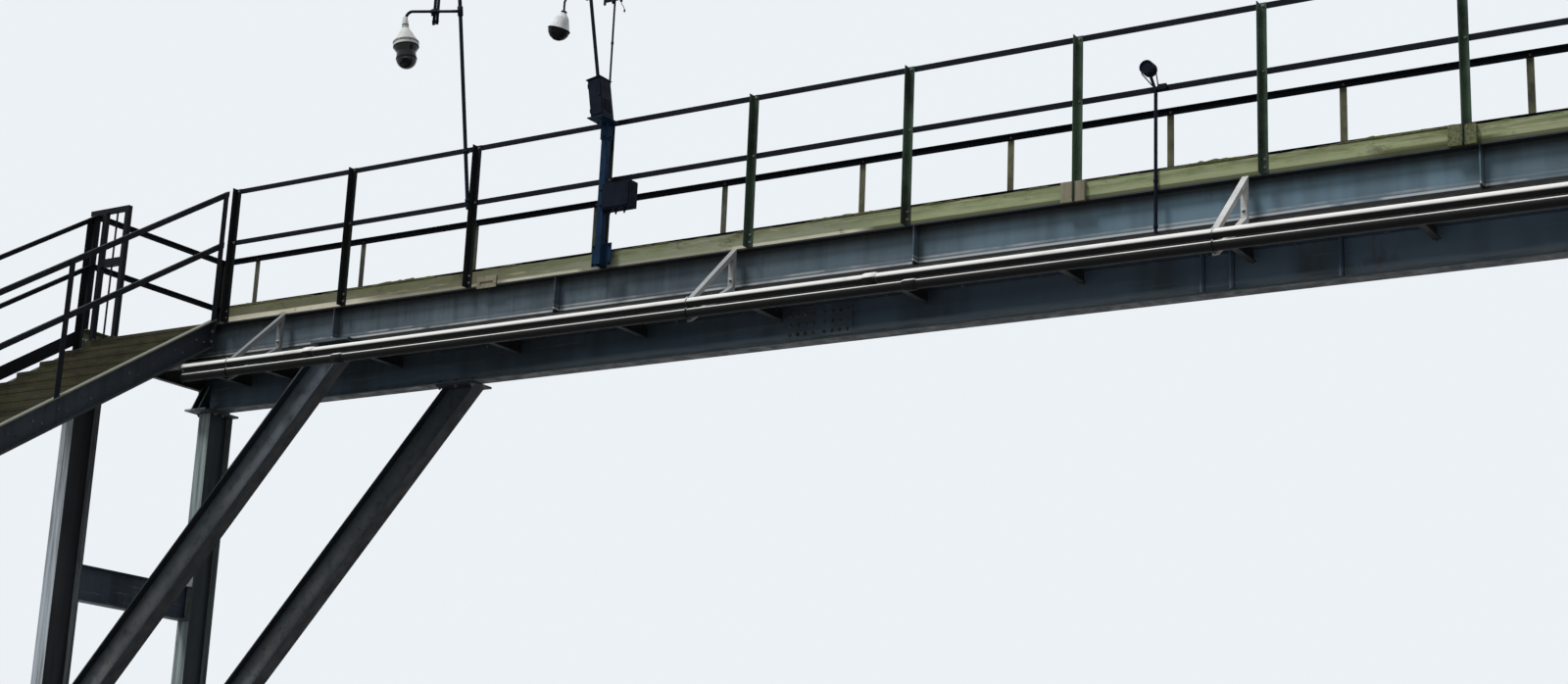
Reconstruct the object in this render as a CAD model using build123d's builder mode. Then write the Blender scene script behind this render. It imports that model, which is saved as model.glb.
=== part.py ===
from build123d import *
import os
from math import atan2, cos, degrees, radians, sin, tan

# Metal footbridge, in millimetres. A straight plate-decked span is carried on two
# I-girders and two piers with raking struts. Each end has a landing, and an open
# stair in two flights that runs down towards -Y.
# X runs along the span from its middle, Y across it, Z up from the ground.
# The origin is on the ground, in the middle of the ground that the bridge covers.

os.makedirs("parts", exist_ok=True)

# Span and landings
BAY = 1500
BAYS = 17
LANDING = 2000
GAUGE = 1650
DECK_LEVEL = 7500
DECK_PLATE = 10

# Main girders, rolled I-section
GIRDER_DEPTH = 360
GIRDER_WIDTH = 170
GIRDER_WEB = 8
GIRDER_FLANGE = 13
STIFFENER = 10
NEAR_STIFFENER_BAYS = (0.93, 2.65, 5.04, 8.05)
FAR_STIFFENER_BAYS = (6.22, 6.39, 7, 8.2)
SPLICE_BAYS = 3.77
SPLICE_LENGTH = 700
SPLICE_DEPTH = 270

# Cross beams under the deck, rolled channel with coped ends
CROSS_DEPTH = 140
CROSS_WIDTH = 60
CROSS_WEB = 7
CROSS_FLANGE = 10

# Kerb channel along the deck edges
KERB_DEPTH = 140
KERB_WIDTH = 60
KERB_WEB = 7
KERB_FLANGE = DECK_PLATE

# Railings
TOP_RAIL = 1350
MID_RAIL = 825
POST_LEG = 60
RAIL_LEG = 50
POST_THICK = 6
RAIL_THICK = 5
STAIR_POST_PITCH = 1820
TOE_RISE = 140
TOE_DROP = 10
TOE_THICK = 6

# Stair flights
RISERS = 22
GOING = 260
STEP_PLATE = 6
STEP_GAP = 1
STRING_DEPTH = 240
STRING_WIDTH = 85
STRING_WEB = 10
STRING_FLANGE = 13
STRING_RISE = 40
STRING_END = 12
OUTER_STRING_LOWER = 100
INNER_STRING = 210
OUTER_STRING = 1960
REST_LENGTH = 1200
FOOT_PLATE = 12
FOOT_MARGIN = 40

# Piers, a little further apart than the girders
PIER_OFFSET = 80
COLUMN_DEPTH = 330
COLUMN_WIDTH = 160
COLUMN_WEB = 8
COLUMN_FLANGE = 12
COLUMN_OFFSET = 1880
BASE_SIZE = 450
BASE_THICK = 25
BASE_BOLTS = 350
BASE_HOLE = 27
CAP_INNER = 235
CAP_MARGIN = 15
CAP_WIDTH = 300
CAP_THICK = 20
GUSSET_LENGTH = 150
GUSSET_TIP = 25
GUSSET_HEIGHT = 260
GUSSET_THICK = 16
GUSSET_PITCH = 100
STRUT_DEPTH = 300
STRUT_WIDTH = 160
STRUT_WEB = 11
STRUT_FLANGE = 14
STRUT_HEAD = 1520
STRUT_DROP = 4120
STRUT_PLATE = 20
STRUT_PLATE_MARGIN = 30
STRUT_HEAD_WIDTH = 300
PIER_BEAM_DEPTH = 350
PIER_BEAM_WIDTH = 150
PIER_BEAM_WEB = 7
PIER_BEAM_FLANGE = 11
PIER_BEAM_DROPS = (2415, 5600)

# Trestle under each rest landing
TRESTLE_SIZE = 160
TRESTLE_WEB = 8
TRESTLE_FLANGE = 13
TRESTLE_INSET = 170
TRESTLE_BASE = 260
TRESTLE_BASE_THICK = 15
TRESTLE_BOLTS = 180
TRESTLE_HOLE = 18
TRESTLE_TIE = 1500

# Service pipes and their brackets
PIPE_RADIUS = 38
PIPE_WALL = 5
PIPE_REACH = 725
PIPE_DROP = 630
PIPE_PITCH = 90
PIPE_END = 200
PIPE_FLANGE_RADIUS = 60
PIPE_FLANGE = 12
BRACKET_BAYS = (0.5, 3.9, 6.9)
BRACKET_WIDTH = 50
BRACKET_LEG = 40
BRACKET_END = 60
SEAT_GAP = 0.3

# Barrier frame at the head of each stair
BARRIER_OUTER = 1910
BARRIER_INNER = 1595
BARRIER_REACH = 210
BARRIER_HEIGHT = 1414
BARRIER_MID = 830
BARRIER_TUBE = 50
BARRIER_MID_DEPTH = 80
BARRIER_BAR = 1750
BARRIER_BAR_RADIUS = 10
BARRIER_FOOT = 100
BARRIER_FOOT_THICK = 8

# Camera mast, equipment mast and spotlight pole on the near side
MAST_RADIUS = 18
MAST_LEAN = 8
CAMERA_MAST_BAY = 1.99
CAMERA_MAST_FOOT = 720
CAMERA_MAST_LENGTH = 2250
CAMERA_ARM_BELOW = 255
CAMERA_ARM_REACH = 685
CAMERA_ARM_RISE = 123
CAMERA_ARM_DROP = 140
CAMERA_ARM_BEND = 70
CAMERA_ARM_RADIUS = 14
CAMERA_NECK_RADIUS = 30
CAMERA_NECK = 30
CAMERA_RADIUS = 120
CAMERA_CONE = 185
CAMERA_SHELL = 232
CAMERA_RING_RADIUS = 112
CAMERA_RING = 252
CAMERA_WAIST_RADIUS = 90
CAMERA_WAIST = 290
CAMERA_DOME_RADIUS = 97
CAMERA_DOME = 357
EQUIPMENT_MAST_BAY = 3.01
EQUIPMENT_MAST_SIZE = 60
EQUIPMENT_MAST_WALL = 5
EQUIPMENT_MAST_LENGTH = 1300
EQUIPMENT_FOOT = 200
EQUIPMENT_FOOT_THICK = 10
COLLAR_SIZE = 76
COLLAR_HEIGHT = 150
HEAD_LENGTH = 180
HEAD_DEPTH = 230
HEAD_SHIFT = 10
HEAD_THICK = 10
CABINET_LENGTH = 135
CABINET_DEPTH = 170
CABINET_HEIGHT = 365
CABINET_CORNER = 12
CABINET_SHIFT = 20
POLE_LEAN = 10
POLE_RADIUS = 16
POLE_SHIFT = 55
POLE_LENGTH = 1400
ROD_RADIUS = 9
LEAN_BLANK = 30
FLOOD_HEIGHT = 1270
FLOOD_CLAMP = 40
FLOOD_ARM_REACH = 255
FLOOD_ARM_RISE = 40
FLOOD_ARM_DROP = 140
FLOOD_ARM_BEND = 40
FLOOD_ARM_RADIUS = 10
FLOOD_TILT = 15
FLOOD_NECK_RADIUS = 22
FLOOD_SHOULDER_RADIUS = 60
FLOOD_SHOULDER = 50
FLOOD_RADIUS = 98
FLOOD_SHELL = 165
FLOOD_GRILLE_RADIUS = 94
JUNCTION_LENGTH = 300
JUNCTION_DEPTH = 110
JUNCTION_TALL = 235
JUNCTION_BOTTOM = 480
SPOT_BAY = 6.43
SPOT_RADIUS = 14
SPOT_TOP = 790
SPOT_NECK_REACH = 57
SPOT_NECK_RISE = 180
SPOT_NECK_RADIUS = 12
SPOT_HEAD_RADIUS = 52
SPOT_HEAD_LENGTH = 90

# Worked out from the sizes above
SPAN_END = BAYS * BAY / 2
GIRDER_LENGTH = 2 * (SPAN_END + LANDING)
WALK_LEVEL = DECK_LEVEL + DECK_PLATE
RISER = WALK_LEVEL / (2 * RISERS)
SLOPE = RISER / GOING
PITCH = atan2(RISER, GOING)
FLIGHT_RUN = (RISERS - 1) * GOING
REST_LEVEL = WALK_LEVEL - RISERS * RISER
COLUMN_HEIGHT = DECK_LEVEL - GIRDER_DEPTH - CAP_THICK - BASE_THICK
GIRDER_BOTTOM = DECK_LEVEL - GIRDER_DEPTH

# The box of the whole bridge is centred on Y = 0: the stair feet reach furthest
# forward, and the far columns' base plates furthest back.
STAIR_REACH = GIRDER_WIDTH / 2 + 2 * FLIGHT_RUN + REST_LENGTH + FOOT_MARGIN
NEAR_Y = (STAIR_REACH - GAUGE - PIER_OFFSET - BASE_SIZE / 2) / 2
FAR_Y = NEAR_Y + GAUGE
STAIR_Y = NEAR_Y - GIRDER_WIDTH / 2
REST_BACK_Y = STAIR_Y - FLIGHT_RUN
REST_FRONT_Y = REST_BACK_Y - REST_LENGTH
FOOT_Y = REST_FRONT_Y - FLIGHT_RUN


def bay_x(bay):
    """X of a point that many bays in from the left end of the span."""
    return bay * BAY - SPAN_END


def out_x(distance):
    """X of a point that far out beyond the left end of the span."""
    return -SPAN_END - distance


def both_ends(bays):
    """X of points on the left half, and of their mirror images."""
    return [sign * bay_x(bay) for sign in (1, -1) for bay in bays]


def level(x, y, z):
    """Plane normal to Z at a point."""
    return Plane(origin=(x, y, z))


def across(x, y, z):
    """Plane normal to X, with its own X axis along Y and its own Y axis up."""
    return Plane(origin=(x, y, z), x_dir=(0, 1, 0), z_dir=(1, 0, 0))


def along(x, y, z):
    """Plane normal to Y, with its own X axis along X and its own Y axis up."""
    return Plane(origin=(x, y, z), x_dir=(1, 0, 0), z_dir=(0, -1, 0))


def i_section(plane, depth, width, web, flange):
    """Rolled I-section, with its depth along the plane's own Y axis."""
    side = (width - web) / 2
    with BuildSketch(plane) as section:
        Rectangle(width, depth)
        with Locations((-(web + side) / 2, 0), ((web + side) / 2, 0)):
            Rectangle(side, depth - 2 * flange, mode=Mode.SUBTRACT)
    return section.sketch


def channel_section(plane, depth, width, web, flange, side=1):
    """Rolled channel, with its web's back on the plane's own Y axis."""
    with BuildSketch(plane) as section:
        with Locations((side * width / 2, 0)):
            Rectangle(width, depth)
        with Locations((side * (width + web) / 2, 0)):
            Rectangle(width - web, depth - 2 * flange, mode=Mode.SUBTRACT)
    return section.sketch


def angle_section(plane, leg, thick, side_x=1, side_y=1):
    """Rolled angle, with its corner at the plane's origin."""
    with BuildSketch(plane) as section:
        with Locations((side_x * leg / 2, side_y * thick / 2)):
            Rectangle(leg, thick)
        with Locations((side_x * thick / 2, side_y * leg / 2)):
            Rectangle(thick, leg)
    return section.sketch


def side_face(x, points):
    """Face on a plane normal to X, from its Y and Z points."""
    with BuildSketch(across(x, 0, 0)) as section:
        with BuildLine():
            Polyline(*points, close=True)
        make_face()
    return section.sketch


def front_face(y, points):
    """Face on a plane normal to Y, from its X and Z points."""
    with BuildSketch(along(0, y, 0)) as section:
        with BuildLine():
            Polyline(*points, close=True)
        make_face()
    return section.sketch


def strip(path, drop_top, drop_bottom):
    """Outline of a band below a path, between two upright drops."""
    upper = [(y, z - drop_top) for y, z in path]
    lower = [(y, z - drop_bottom) for y, z in reversed(path)]
    return upper + lower


def save(builder, name):
    builder.part.label = name
    export_step(builder.part, f"parts/{name}.step")


def save_pair(builder, name):
    """Writes a piece of the left end, and its mirror image at the right end."""
    save(builder, name + "_left")
    with BuildPart() as mirrored:
        mirror(builder.part, about=Plane.YZ)
    save(mirrored, name + "_right")


# Main girders

def girder(y, stiffener_bays, outer_side):
    """I-girder from end to end, with web stiffeners and end plates."""
    middle = DECK_LEVEL - GIRDER_DEPTH / 2
    clear_depth = GIRDER_DEPTH - 2 * GIRDER_FLANGE
    panel = (GIRDER_WIDTH - GIRDER_WEB) / 2
    panel_y = y + outer_side * (GIRDER_WEB + panel) / 2
    strut_x = [-bay_x(0) - STRUT_HEAD, bay_x(0) + STRUT_HEAD]
    with BuildPart() as beam:
        section = i_section(across(-GIRDER_LENGTH / 2, y, middle),
                            GIRDER_DEPTH, GIRDER_WIDTH, GIRDER_WEB, GIRDER_FLANGE)
        extrude(section, amount=GIRDER_LENGTH)
        with Locations(*[(x, panel_y, middle) for x in both_ends(stiffener_bays)]):
            Box(STIFFENER, panel, clear_depth)
        with Locations(*[(x, 2 * y - panel_y, middle) for x in strut_x]):
            Box(STIFFENER, panel, clear_depth)
        end = GIRDER_LENGTH / 2 + STIFFENER / 2
        with Locations((-end, y, middle), (end, y, middle)):
            Box(STIFFENER, GIRDER_WIDTH, GIRDER_DEPTH)
    return beam


near_girder = girder(NEAR_Y, NEAR_STIFFENER_BAYS, -1)
save(near_girder, "near_girder")

far_girder = girder(FAR_Y, FAR_STIFFENER_BAYS, -1)
save(far_girder, "far_girder")

with BuildPart() as splice_plates:
    cover = GIRDER_WEB / 2 + STIFFENER / 2
    places = [(x, FAR_Y + side * cover, DECK_LEVEL - GIRDER_DEPTH / 2)
              for x in both_ends([SPLICE_BAYS]) for side in (1, -1)]
    with Locations(*places):
        Box(SPLICE_LENGTH, STIFFENER, SPLICE_DEPTH)
save(splice_plates, "splice_plates")

# Cross beams between the girder webs, coped to clear the girders' top flanges

CROSS_CLEAR = GAUGE - GIRDER_WIDTH
CROSS_LENGTH = GAUGE - GIRDER_WEB


def cross_beam(x, depth=CROSS_DEPTH):
    """One coped channel across the deck, with its top on the deck plate."""
    middle = DECK_LEVEL - depth / 2
    fin_depth = depth - 2 * GIRDER_FLANGE
    with BuildPart() as beam:
        plane = along(x, NEAR_Y + (GAUGE + CROSS_CLEAR) / 2, middle)
        extrude(channel_section(plane, depth, CROSS_WIDTH, CROSS_WEB, CROSS_FLANGE),
                amount=CROSS_CLEAR)
        with Locations((x + CROSS_WEB / 2, NEAR_Y + GAUGE / 2, middle)):
            Box(CROSS_WEB, CROSS_LENGTH, fin_depth)
    return beam.part


with BuildPart() as cross_beams:
    first = cross_beam(bay_x(0.5))
    with Locations(*[(k * BAY, 0, 0) for k in range(BAYS)]):
        add(first)
save(cross_beams, "cross_beams")

# Deck plate and kerbs of the span

DECK_WIDTH = GAUGE + GIRDER_WIDTH - 2 * KERB_WIDTH
DECK_Y = NEAR_Y + GAUGE / 2
NEAR_KERB_Y = NEAR_Y - GIRDER_WIDTH / 2
FAR_KERB_Y = FAR_Y + GIRDER_WIDTH / 2

with BuildPart() as deck_plate:
    with Locations((0, DECK_Y, DECK_LEVEL + DECK_PLATE / 2)):
        Box(2 * SPAN_END, DECK_WIDTH, DECK_PLATE)
save(deck_plate, "deck_plate")


def kerb(x_start, length, y, side):
    """Kerb channel on the girder, with its web outward."""
    plane = across(x_start, y, DECK_LEVEL + KERB_DEPTH / 2)
    with BuildPart() as channel:
        extrude(channel_section(plane, KERB_DEPTH, KERB_WIDTH, KERB_WEB, KERB_FLANGE, side),
                amount=length)
    return channel


near_kerb = kerb(-SPAN_END, 2 * SPAN_END, NEAR_KERB_Y, 1)
save(near_kerb, "near_kerb")

END_X = out_x(LANDING)
far_kerb = kerb(END_X, -2 * END_X, FAR_KERB_Y, -1)
save(far_kerb, "far_kerb")

# Railings of the span: angle posts on the kerbs' outer faces, with two angle rails

def railing_along(x_start, x_end, post_x, y, side):
    """Level railing along X; side is the outward direction along Y."""
    with BuildPart() as railing:
        for x in post_x:
            corner = level(x - POST_LEG / 2, y, DECK_LEVEL)
            extrude(angle_section(corner, POST_LEG, POST_THICK, 1, side), amount=TOP_RAIL)
        for height in (TOP_RAIL, MID_RAIL):
            start = across(x_start, y, DECK_LEVEL + height)
            extrude(angle_section(start, RAIL_LEG, RAIL_THICK, -side, -1),
                    amount=x_end - x_start)
    return railing


near_posts = [bay_x(k) for k in range(BAYS + 1)]
near_railing = railing_along(-SPAN_END - POST_LEG / 2, SPAN_END + POST_LEG / 2,
                             near_posts, NEAR_KERB_Y, -1)
save(near_railing, "near_railing")

corner_x = END_X + POST_LEG / 2
far_posts = [corner_x, bay_x(-1)] + near_posts + [bay_x(BAYS + 1), -corner_x]
far_railing = railing_along(END_X, -END_X, far_posts, FAR_KERB_Y, 1)
save(far_railing, "far_railing")

# Landing deck, frame and railings at the left end

LANDING_X = out_x(LANDING / 2)

with BuildPart() as landing_deck:
    front = STAIR_Y
    back = FAR_KERB_Y - KERB_WIDTH
    with Locations((LANDING_X + KERB_WIDTH / 2, (front + back) / 2,
                    DECK_LEVEL + DECK_PLATE / 2)):
        Box(LANDING - KERB_WIDTH, back - front, DECK_PLATE)
save_pair(landing_deck, "landing_deck")

with BuildPart() as landing_frame:
    add(cross_beam(out_x(LANDING / 3)))
    add(cross_beam(out_x(2 * LANDING / 3)))
    add(cross_beam(END_X))
save_pair(landing_frame, "landing_beams")

with BuildPart() as landing_kerb:
    kerb_back = FAR_KERB_Y - KERB_WIDTH
    plane = along(END_X, kerb_back, DECK_LEVEL + KERB_DEPTH / 2)
    extrude(channel_section(plane, KERB_DEPTH, KERB_WIDTH, KERB_WEB, KERB_FLANGE),
            amount=kerb_back - STAIR_Y)
save_pair(landing_kerb, "landing_kerb")

with BuildPart() as end_railing:
    for y in (FAR_KERB_Y, STAIR_Y + POST_LEG):
        plane = Plane(origin=(END_X, y, DECK_LEVEL), x_dir=(-1, 0, 0), z_dir=(0, 0, 1))
        extrude(angle_section(plane, POST_LEG, POST_THICK, 1, 1), amount=TOP_RAIL)
    for height in (TOP_RAIL, MID_RAIL):
        start = along(END_X, FAR_KERB_Y - RAIL_LEG, DECK_LEVEL + height)
        extrude(angle_section(start, RAIL_LEG, RAIL_THICK, 1, -1),
                amount=FAR_KERB_Y - RAIL_LEG - STAIR_Y)
save_pair(end_railing, "landing_end_railing")

# Piers: I-section columns under the girders, raking struts and cross beams

COLUMN_X = out_x(COLUMN_OFFSET)
COLUMN_FACE = COLUMN_X + COLUMN_WIDTH / 2


def base_plate(x, y, size, thick, bolts, hole):
    """Square base plate on the ground with four anchor holes."""
    with BuildPart() as plate:
        with BuildSketch(level(x, y, 0)):
            Rectangle(size, size)
            with GridLocations(bolts, bolts, 2, 2):
                Circle(hole / 2, mode=Mode.SUBTRACT)
        extrude(amount=thick)
    return plate.part


def column(girder_y, outward, gusset_sides):
    """Column beside a girder's centre line, with a cap plate and gussets for the girder."""
    y = girder_y + outward * PIER_OFFSET
    cap_in = girder_y - outward * CAP_INNER
    cap_out = y + outward * (COLUMN_DEPTH / 2 + CAP_MARGIN)
    with BuildPart() as post:
        add(base_plate(COLUMN_X, y, BASE_SIZE, BASE_THICK, BASE_BOLTS, BASE_HOLE))
        foot = level(COLUMN_X, y, BASE_THICK)
        extrude(i_section(foot, COLUMN_DEPTH, COLUMN_WIDTH, COLUMN_WEB, COLUMN_FLANGE),
                amount=COLUMN_HEIGHT)
        with Locations((COLUMN_X, (cap_in + cap_out) / 2, GIRDER_BOTTOM - CAP_THICK / 2)):
            Box(CAP_WIDTH, abs(cap_out - cap_in), CAP_THICK)
        for side in gusset_sides:
            edge = girder_y + side * GIRDER_WIDTH / 2
            top = GIRDER_BOTTOM + GUSSET_HEIGHT
            points = [(edge, GIRDER_BOTTOM), (edge + side * GUSSET_LENGTH, GIRDER_BOTTOM),
                      (edge + side * GUSSET_TIP, top), (edge, top)]
            for shift in (-GUSSET_PITCH / 2, GUSSET_PITCH / 2):
                extrude(side_face(COLUMN_X + shift - GUSSET_THICK / 2, points),
                        amount=GUSSET_THICK)
    return post


# The stair leaves no room for gussets on the near girder's outer side.
save_pair(column(NEAR_Y, -1, (1,)), "near_column")
save_pair(column(FAR_Y, 1, (-1, 1)), "far_column")

PIER_NEAR_Y = NEAR_Y - PIER_OFFSET
PIER_FAR_Y = FAR_Y + PIER_OFFSET

with BuildPart() as pier_beams:
    for drop in PIER_BEAM_DROPS:
        start = along(COLUMN_X, PIER_FAR_Y - COLUMN_DEPTH / 2, DECK_LEVEL - drop)
        section = i_section(start, PIER_BEAM_DEPTH, PIER_BEAM_WIDTH,
                            PIER_BEAM_WEB, PIER_BEAM_FLANGE)
        extrude(section, amount=PIER_FAR_Y - PIER_NEAR_Y - COLUMN_DEPTH)
save_pair(pier_beams, "pier_beams")

STRUT_RUN = COLUMN_OFFSET + STRUT_HEAD
STRUT_RISE = STRUT_DROP - GIRDER_DEPTH
STRUT_PITCH = atan2(STRUT_RISE, STRUT_RUN)
STRUT_FOOT_Z = GIRDER_BOTTOM - STRUT_RISE


def strut_line(x, offset):
    """Height at X of a line along the strut, offset square to its axis."""
    return STRUT_FOOT_Z + (x - COLUMN_X) * tan(STRUT_PITCH) + offset / cos(STRUT_PITCH)


def strut_band(offset_low, offset_high):
    """Outline in X and Z of a band of the strut, between its two end plates."""
    x_low = COLUMN_FACE + STRUT_PLATE
    z_high = GIRDER_BOTTOM - STRUT_PLATE
    low_end = [(x_low, strut_line(x_low, offset)) for offset in (offset_low, offset_high)]
    high_end = [(x_low + (z_high - strut_line(x_low, offset)) / tan(STRUT_PITCH), z_high)
                for offset in (offset_high, offset_low)]
    return low_end + high_end


def strut(y):
    """Raking strut with an end plate on the column and one under the girder."""
    half = STRUT_DEPTH / 2
    with BuildPart() as rake:
        for low, high, width in ((-half, STRUT_FLANGE - half, STRUT_WIDTH),
                                 (half - STRUT_FLANGE, half, STRUT_WIDTH),
                                 (STRUT_FLANGE - half, half - STRUT_FLANGE, STRUT_WEB)):
            extrude(front_face(y + width / 2, strut_band(low, high)), amount=width)
        outline = strut_band(-half, half)
        foot_height = outline[1][1] - outline[0][1] + 2 * STRUT_PLATE_MARGIN
        foot_z = (outline[0][1] + outline[1][1]) / 2
        with Locations((COLUMN_FACE + STRUT_PLATE / 2, y, foot_z)):
            Box(STRUT_PLATE, COLUMN_DEPTH, foot_height)
        head_length = outline[3][0] - outline[2][0] + 2 * STRUT_PLATE_MARGIN
        head_x = (outline[2][0] + outline[3][0]) / 2
        with Locations((head_x, y, GIRDER_BOTTOM - STRUT_PLATE / 2)):
            Box(head_length, STRUT_HEAD_WIDTH, STRUT_PLATE)
    return rake


with BuildPart() as struts:
    add(strut(PIER_NEAR_Y).part)
    add(strut(PIER_FAR_Y).part)
save_pair(struts, "struts")

# Stairs: channel strings, folded step plates, rest landing, trestle and railings

STRING_DROP = STRING_DEPTH / cos(PITCH)
FLANGE_DROP = STRING_FLANGE / cos(PITCH)


def nose_line(y, top_y, top_z):
    """Height at Y of the line through the step noses of a flight."""
    return top_z + (y - top_y) * SLOPE


def string_beam(x, side, path, drop, bottom_cut=None):
    """Channel string below a path in Y and Z; its flanges point to side along X."""
    web = strip(path, 0, drop)
    top = strip(path, 0, FLANGE_DROP)
    bottom = strip(path, drop - FLANGE_DROP, drop)
    with BuildPart() as beam:
        extrude(side_face(x, web), amount=side * STRING_WEB)
        extrude(side_face(x, top), amount=side * STRING_WIDTH)
        extrude(side_face(x, bottom), amount=side * STRING_WIDTH)
        if bottom_cut is not None:
            split(bisect_by=Plane.XY.offset(bottom_cut), keep=Keep.TOP)
    return beam.part


def string_end_plate(x, side, y, top_z):
    """End plate of a string, with its outer face at Y."""
    with BuildPart() as plate:
        with Locations((x + side * STRING_WIDTH / 2, y, top_z - STRING_DROP / 2)):
            Box(STRING_WIDTH, STRING_END, STRING_DROP)
    return plate.part


# Each string's web, the side its flanges point to, and how much lower its top is
STRINGS = ((out_x(INNER_STRING), 1, 0), (out_x(OUTER_STRING), -1, OUTER_STRING_LOWER))


def flight_strings(top_y, top_z, to_ground):
    """The two strings of one flight."""
    low_y = top_y - FLIGHT_RUN
    with BuildPart() as pair:
        for x, side, lowered in STRINGS:
            path = [(y, nose_line(y, top_y, top_z) + STRING_RISE - lowered)
                    for y in (top_y - STRING_END, low_y)]
            cut = FOOT_PLATE if to_ground else None
            add(string_beam(x, side, path, STRING_DROP - lowered, cut))
            add(string_end_plate(x, side, top_y - STRING_END / 2, path[0][1] + lowered))
            if to_ground:
                foot_length = STRING_DROP / SLOPE
                with Locations((x + side * STRING_WIDTH / 2,
                                low_y + foot_length / 2 - FOOT_MARGIN, FOOT_PLATE / 2)):
                    Box(STRING_WIDTH, foot_length, FOOT_PLATE)
    return pair


save_pair(flight_strings(STAIR_Y, WALK_LEVEL, False), "upper_strings")
save_pair(flight_strings(REST_FRONT_Y, REST_LEVEL, True), "lower_strings")


def flight_steps(top_y, top_z):
    """Step plates of one flight, each with a closed riser down to the next."""
    width = OUTER_STRING - INNER_STRING
    x = out_x(OUTER_STRING)
    with BuildPart() as steps:
        for k in range(RISERS):
            nose_y = top_y - k * GOING
            nose_z = top_z - k * RISER
            lip_z = nose_z - RISER + STEP_GAP
            back_y = nose_y if k == 0 else nose_y + GOING
            points = [(nose_y - STEP_PLATE, nose_z), (back_y, nose_z),
                      (back_y, nose_z - STEP_PLATE), (nose_y, nose_z - STEP_PLATE),
                      (nose_y, lip_z), (nose_y - STEP_PLATE, lip_z)]
            if k == 0:
                points = points[:2] + points[4:]
            extrude(side_face(x, points), amount=width)
    return steps


save_pair(flight_steps(STAIR_Y, WALK_LEVEL), "upper_steps")
save_pair(flight_steps(REST_FRONT_Y, REST_LEVEL), "lower_steps")

REST_STRING_TOP = REST_LEVEL + STRING_RISE
REST_STRING_BOTTOM = REST_STRING_TOP - STRING_DEPTH

with BuildPart() as rest_landing:
    for x, side, _ in STRINGS:
        plane = along(x, REST_BACK_Y, REST_STRING_TOP - STRING_DEPTH / 2)
        extrude(channel_section(plane, STRING_DEPTH, STRING_WIDTH, STRING_WEB,
                                STRING_FLANGE, side), amount=REST_LENGTH)
    with Locations((out_x((INNER_STRING + OUTER_STRING) / 2),
                    (REST_BACK_Y + REST_FRONT_Y) / 2, REST_LEVEL - STEP_PLATE / 2)):
        Box(OUTER_STRING - INNER_STRING, REST_LENGTH, STEP_PLATE)
    for y in (REST_BACK_Y - CROSS_WIDTH, (REST_BACK_Y + REST_FRONT_Y) / 2, REST_FRONT_Y):
        joist = across(out_x(OUTER_STRING), y, REST_LEVEL - STEP_PLATE - CROSS_DEPTH / 2)
        extrude(channel_section(joist, CROSS_DEPTH, CROSS_WIDTH, CROSS_WEB, CROSS_FLANGE),
                amount=OUTER_STRING - INNER_STRING)
save_pair(rest_landing, "rest_landing")

with BuildPart() as trestle:
    trestle_y = (REST_BACK_Y + REST_FRONT_Y) / 2
    left = out_x(OUTER_STRING + STRING_WIDTH)
    cap_length = OUTER_STRING - INNER_STRING + 2 * STRING_WIDTH
    cap_middle = REST_STRING_BOTTOM - TRESTLE_SIZE / 2
    extrude(i_section(across(left, trestle_y, cap_middle), TRESTLE_SIZE, TRESTLE_SIZE,
                      TRESTLE_WEB, TRESTLE_FLANGE), amount=cap_length)
    post_height = REST_STRING_BOTTOM - TRESTLE_SIZE - TRESTLE_BASE_THICK
    for x in (left + TRESTLE_INSET, left + cap_length - TRESTLE_INSET):
        add(base_plate(x, trestle_y, TRESTLE_BASE, TRESTLE_BASE_THICK,
                       TRESTLE_BOLTS, TRESTLE_HOLE))
        extrude(i_section(level(x, trestle_y, TRESTLE_BASE_THICK), TRESTLE_SIZE, TRESTLE_SIZE,
                          TRESTLE_WEB, TRESTLE_FLANGE), amount=post_height)
    tie = across(left + TRESTLE_INSET, trestle_y + TRESTLE_SIZE / 2, TRESTLE_TIE)
    extrude(angle_section(tie, POST_LEG, POST_THICK), amount=cap_length - 2 * TRESTLE_INSET)
save_pair(trestle, "trestle")

RAIL_RISE = TOP_RAIL - DECK_PLATE
MID_RISE = MID_RAIL - DECK_PLATE
RAIL_PATH = [(STAIR_Y, WALK_LEVEL), (REST_BACK_Y - GOING, REST_LEVEL),
             (REST_FRONT_Y, REST_LEVEL),
             (FOOT_Y, nose_line(FOOT_Y, REST_FRONT_Y, REST_LEVEL))]
STAIR_POSTS = [STAIR_Y - STRING_END - POST_LEG / 2,
               STAIR_Y - STAIR_POST_PITCH, STAIR_Y - 2 * STAIR_POST_PITCH,
               REST_BACK_Y - POST_LEG / 2, REST_FRONT_Y + POST_LEG / 2,
               REST_FRONT_Y - STAIR_POST_PITCH, REST_FRONT_Y - 2 * STAIR_POST_PITCH,
               FOOT_Y + POST_LEG / 2]


def rail_line(y):
    """Walking line that the stair rails follow."""
    if y >= REST_FRONT_Y:
        return max(nose_line(y, STAIR_Y, WALK_LEVEL), REST_LEVEL)
    return nose_line(y, REST_FRONT_Y, REST_LEVEL)


def string_line(y, lowered):
    """Top of a string, where the stair posts stand; on the flights it can be lower."""
    if y >= REST_BACK_Y:
        return nose_line(y, STAIR_Y, WALK_LEVEL) + STRING_RISE - lowered
    if y >= REST_FRONT_Y:
        return REST_STRING_TOP
    return nose_line(y, REST_FRONT_Y, REST_LEVEL) + STRING_RISE - lowered


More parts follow.
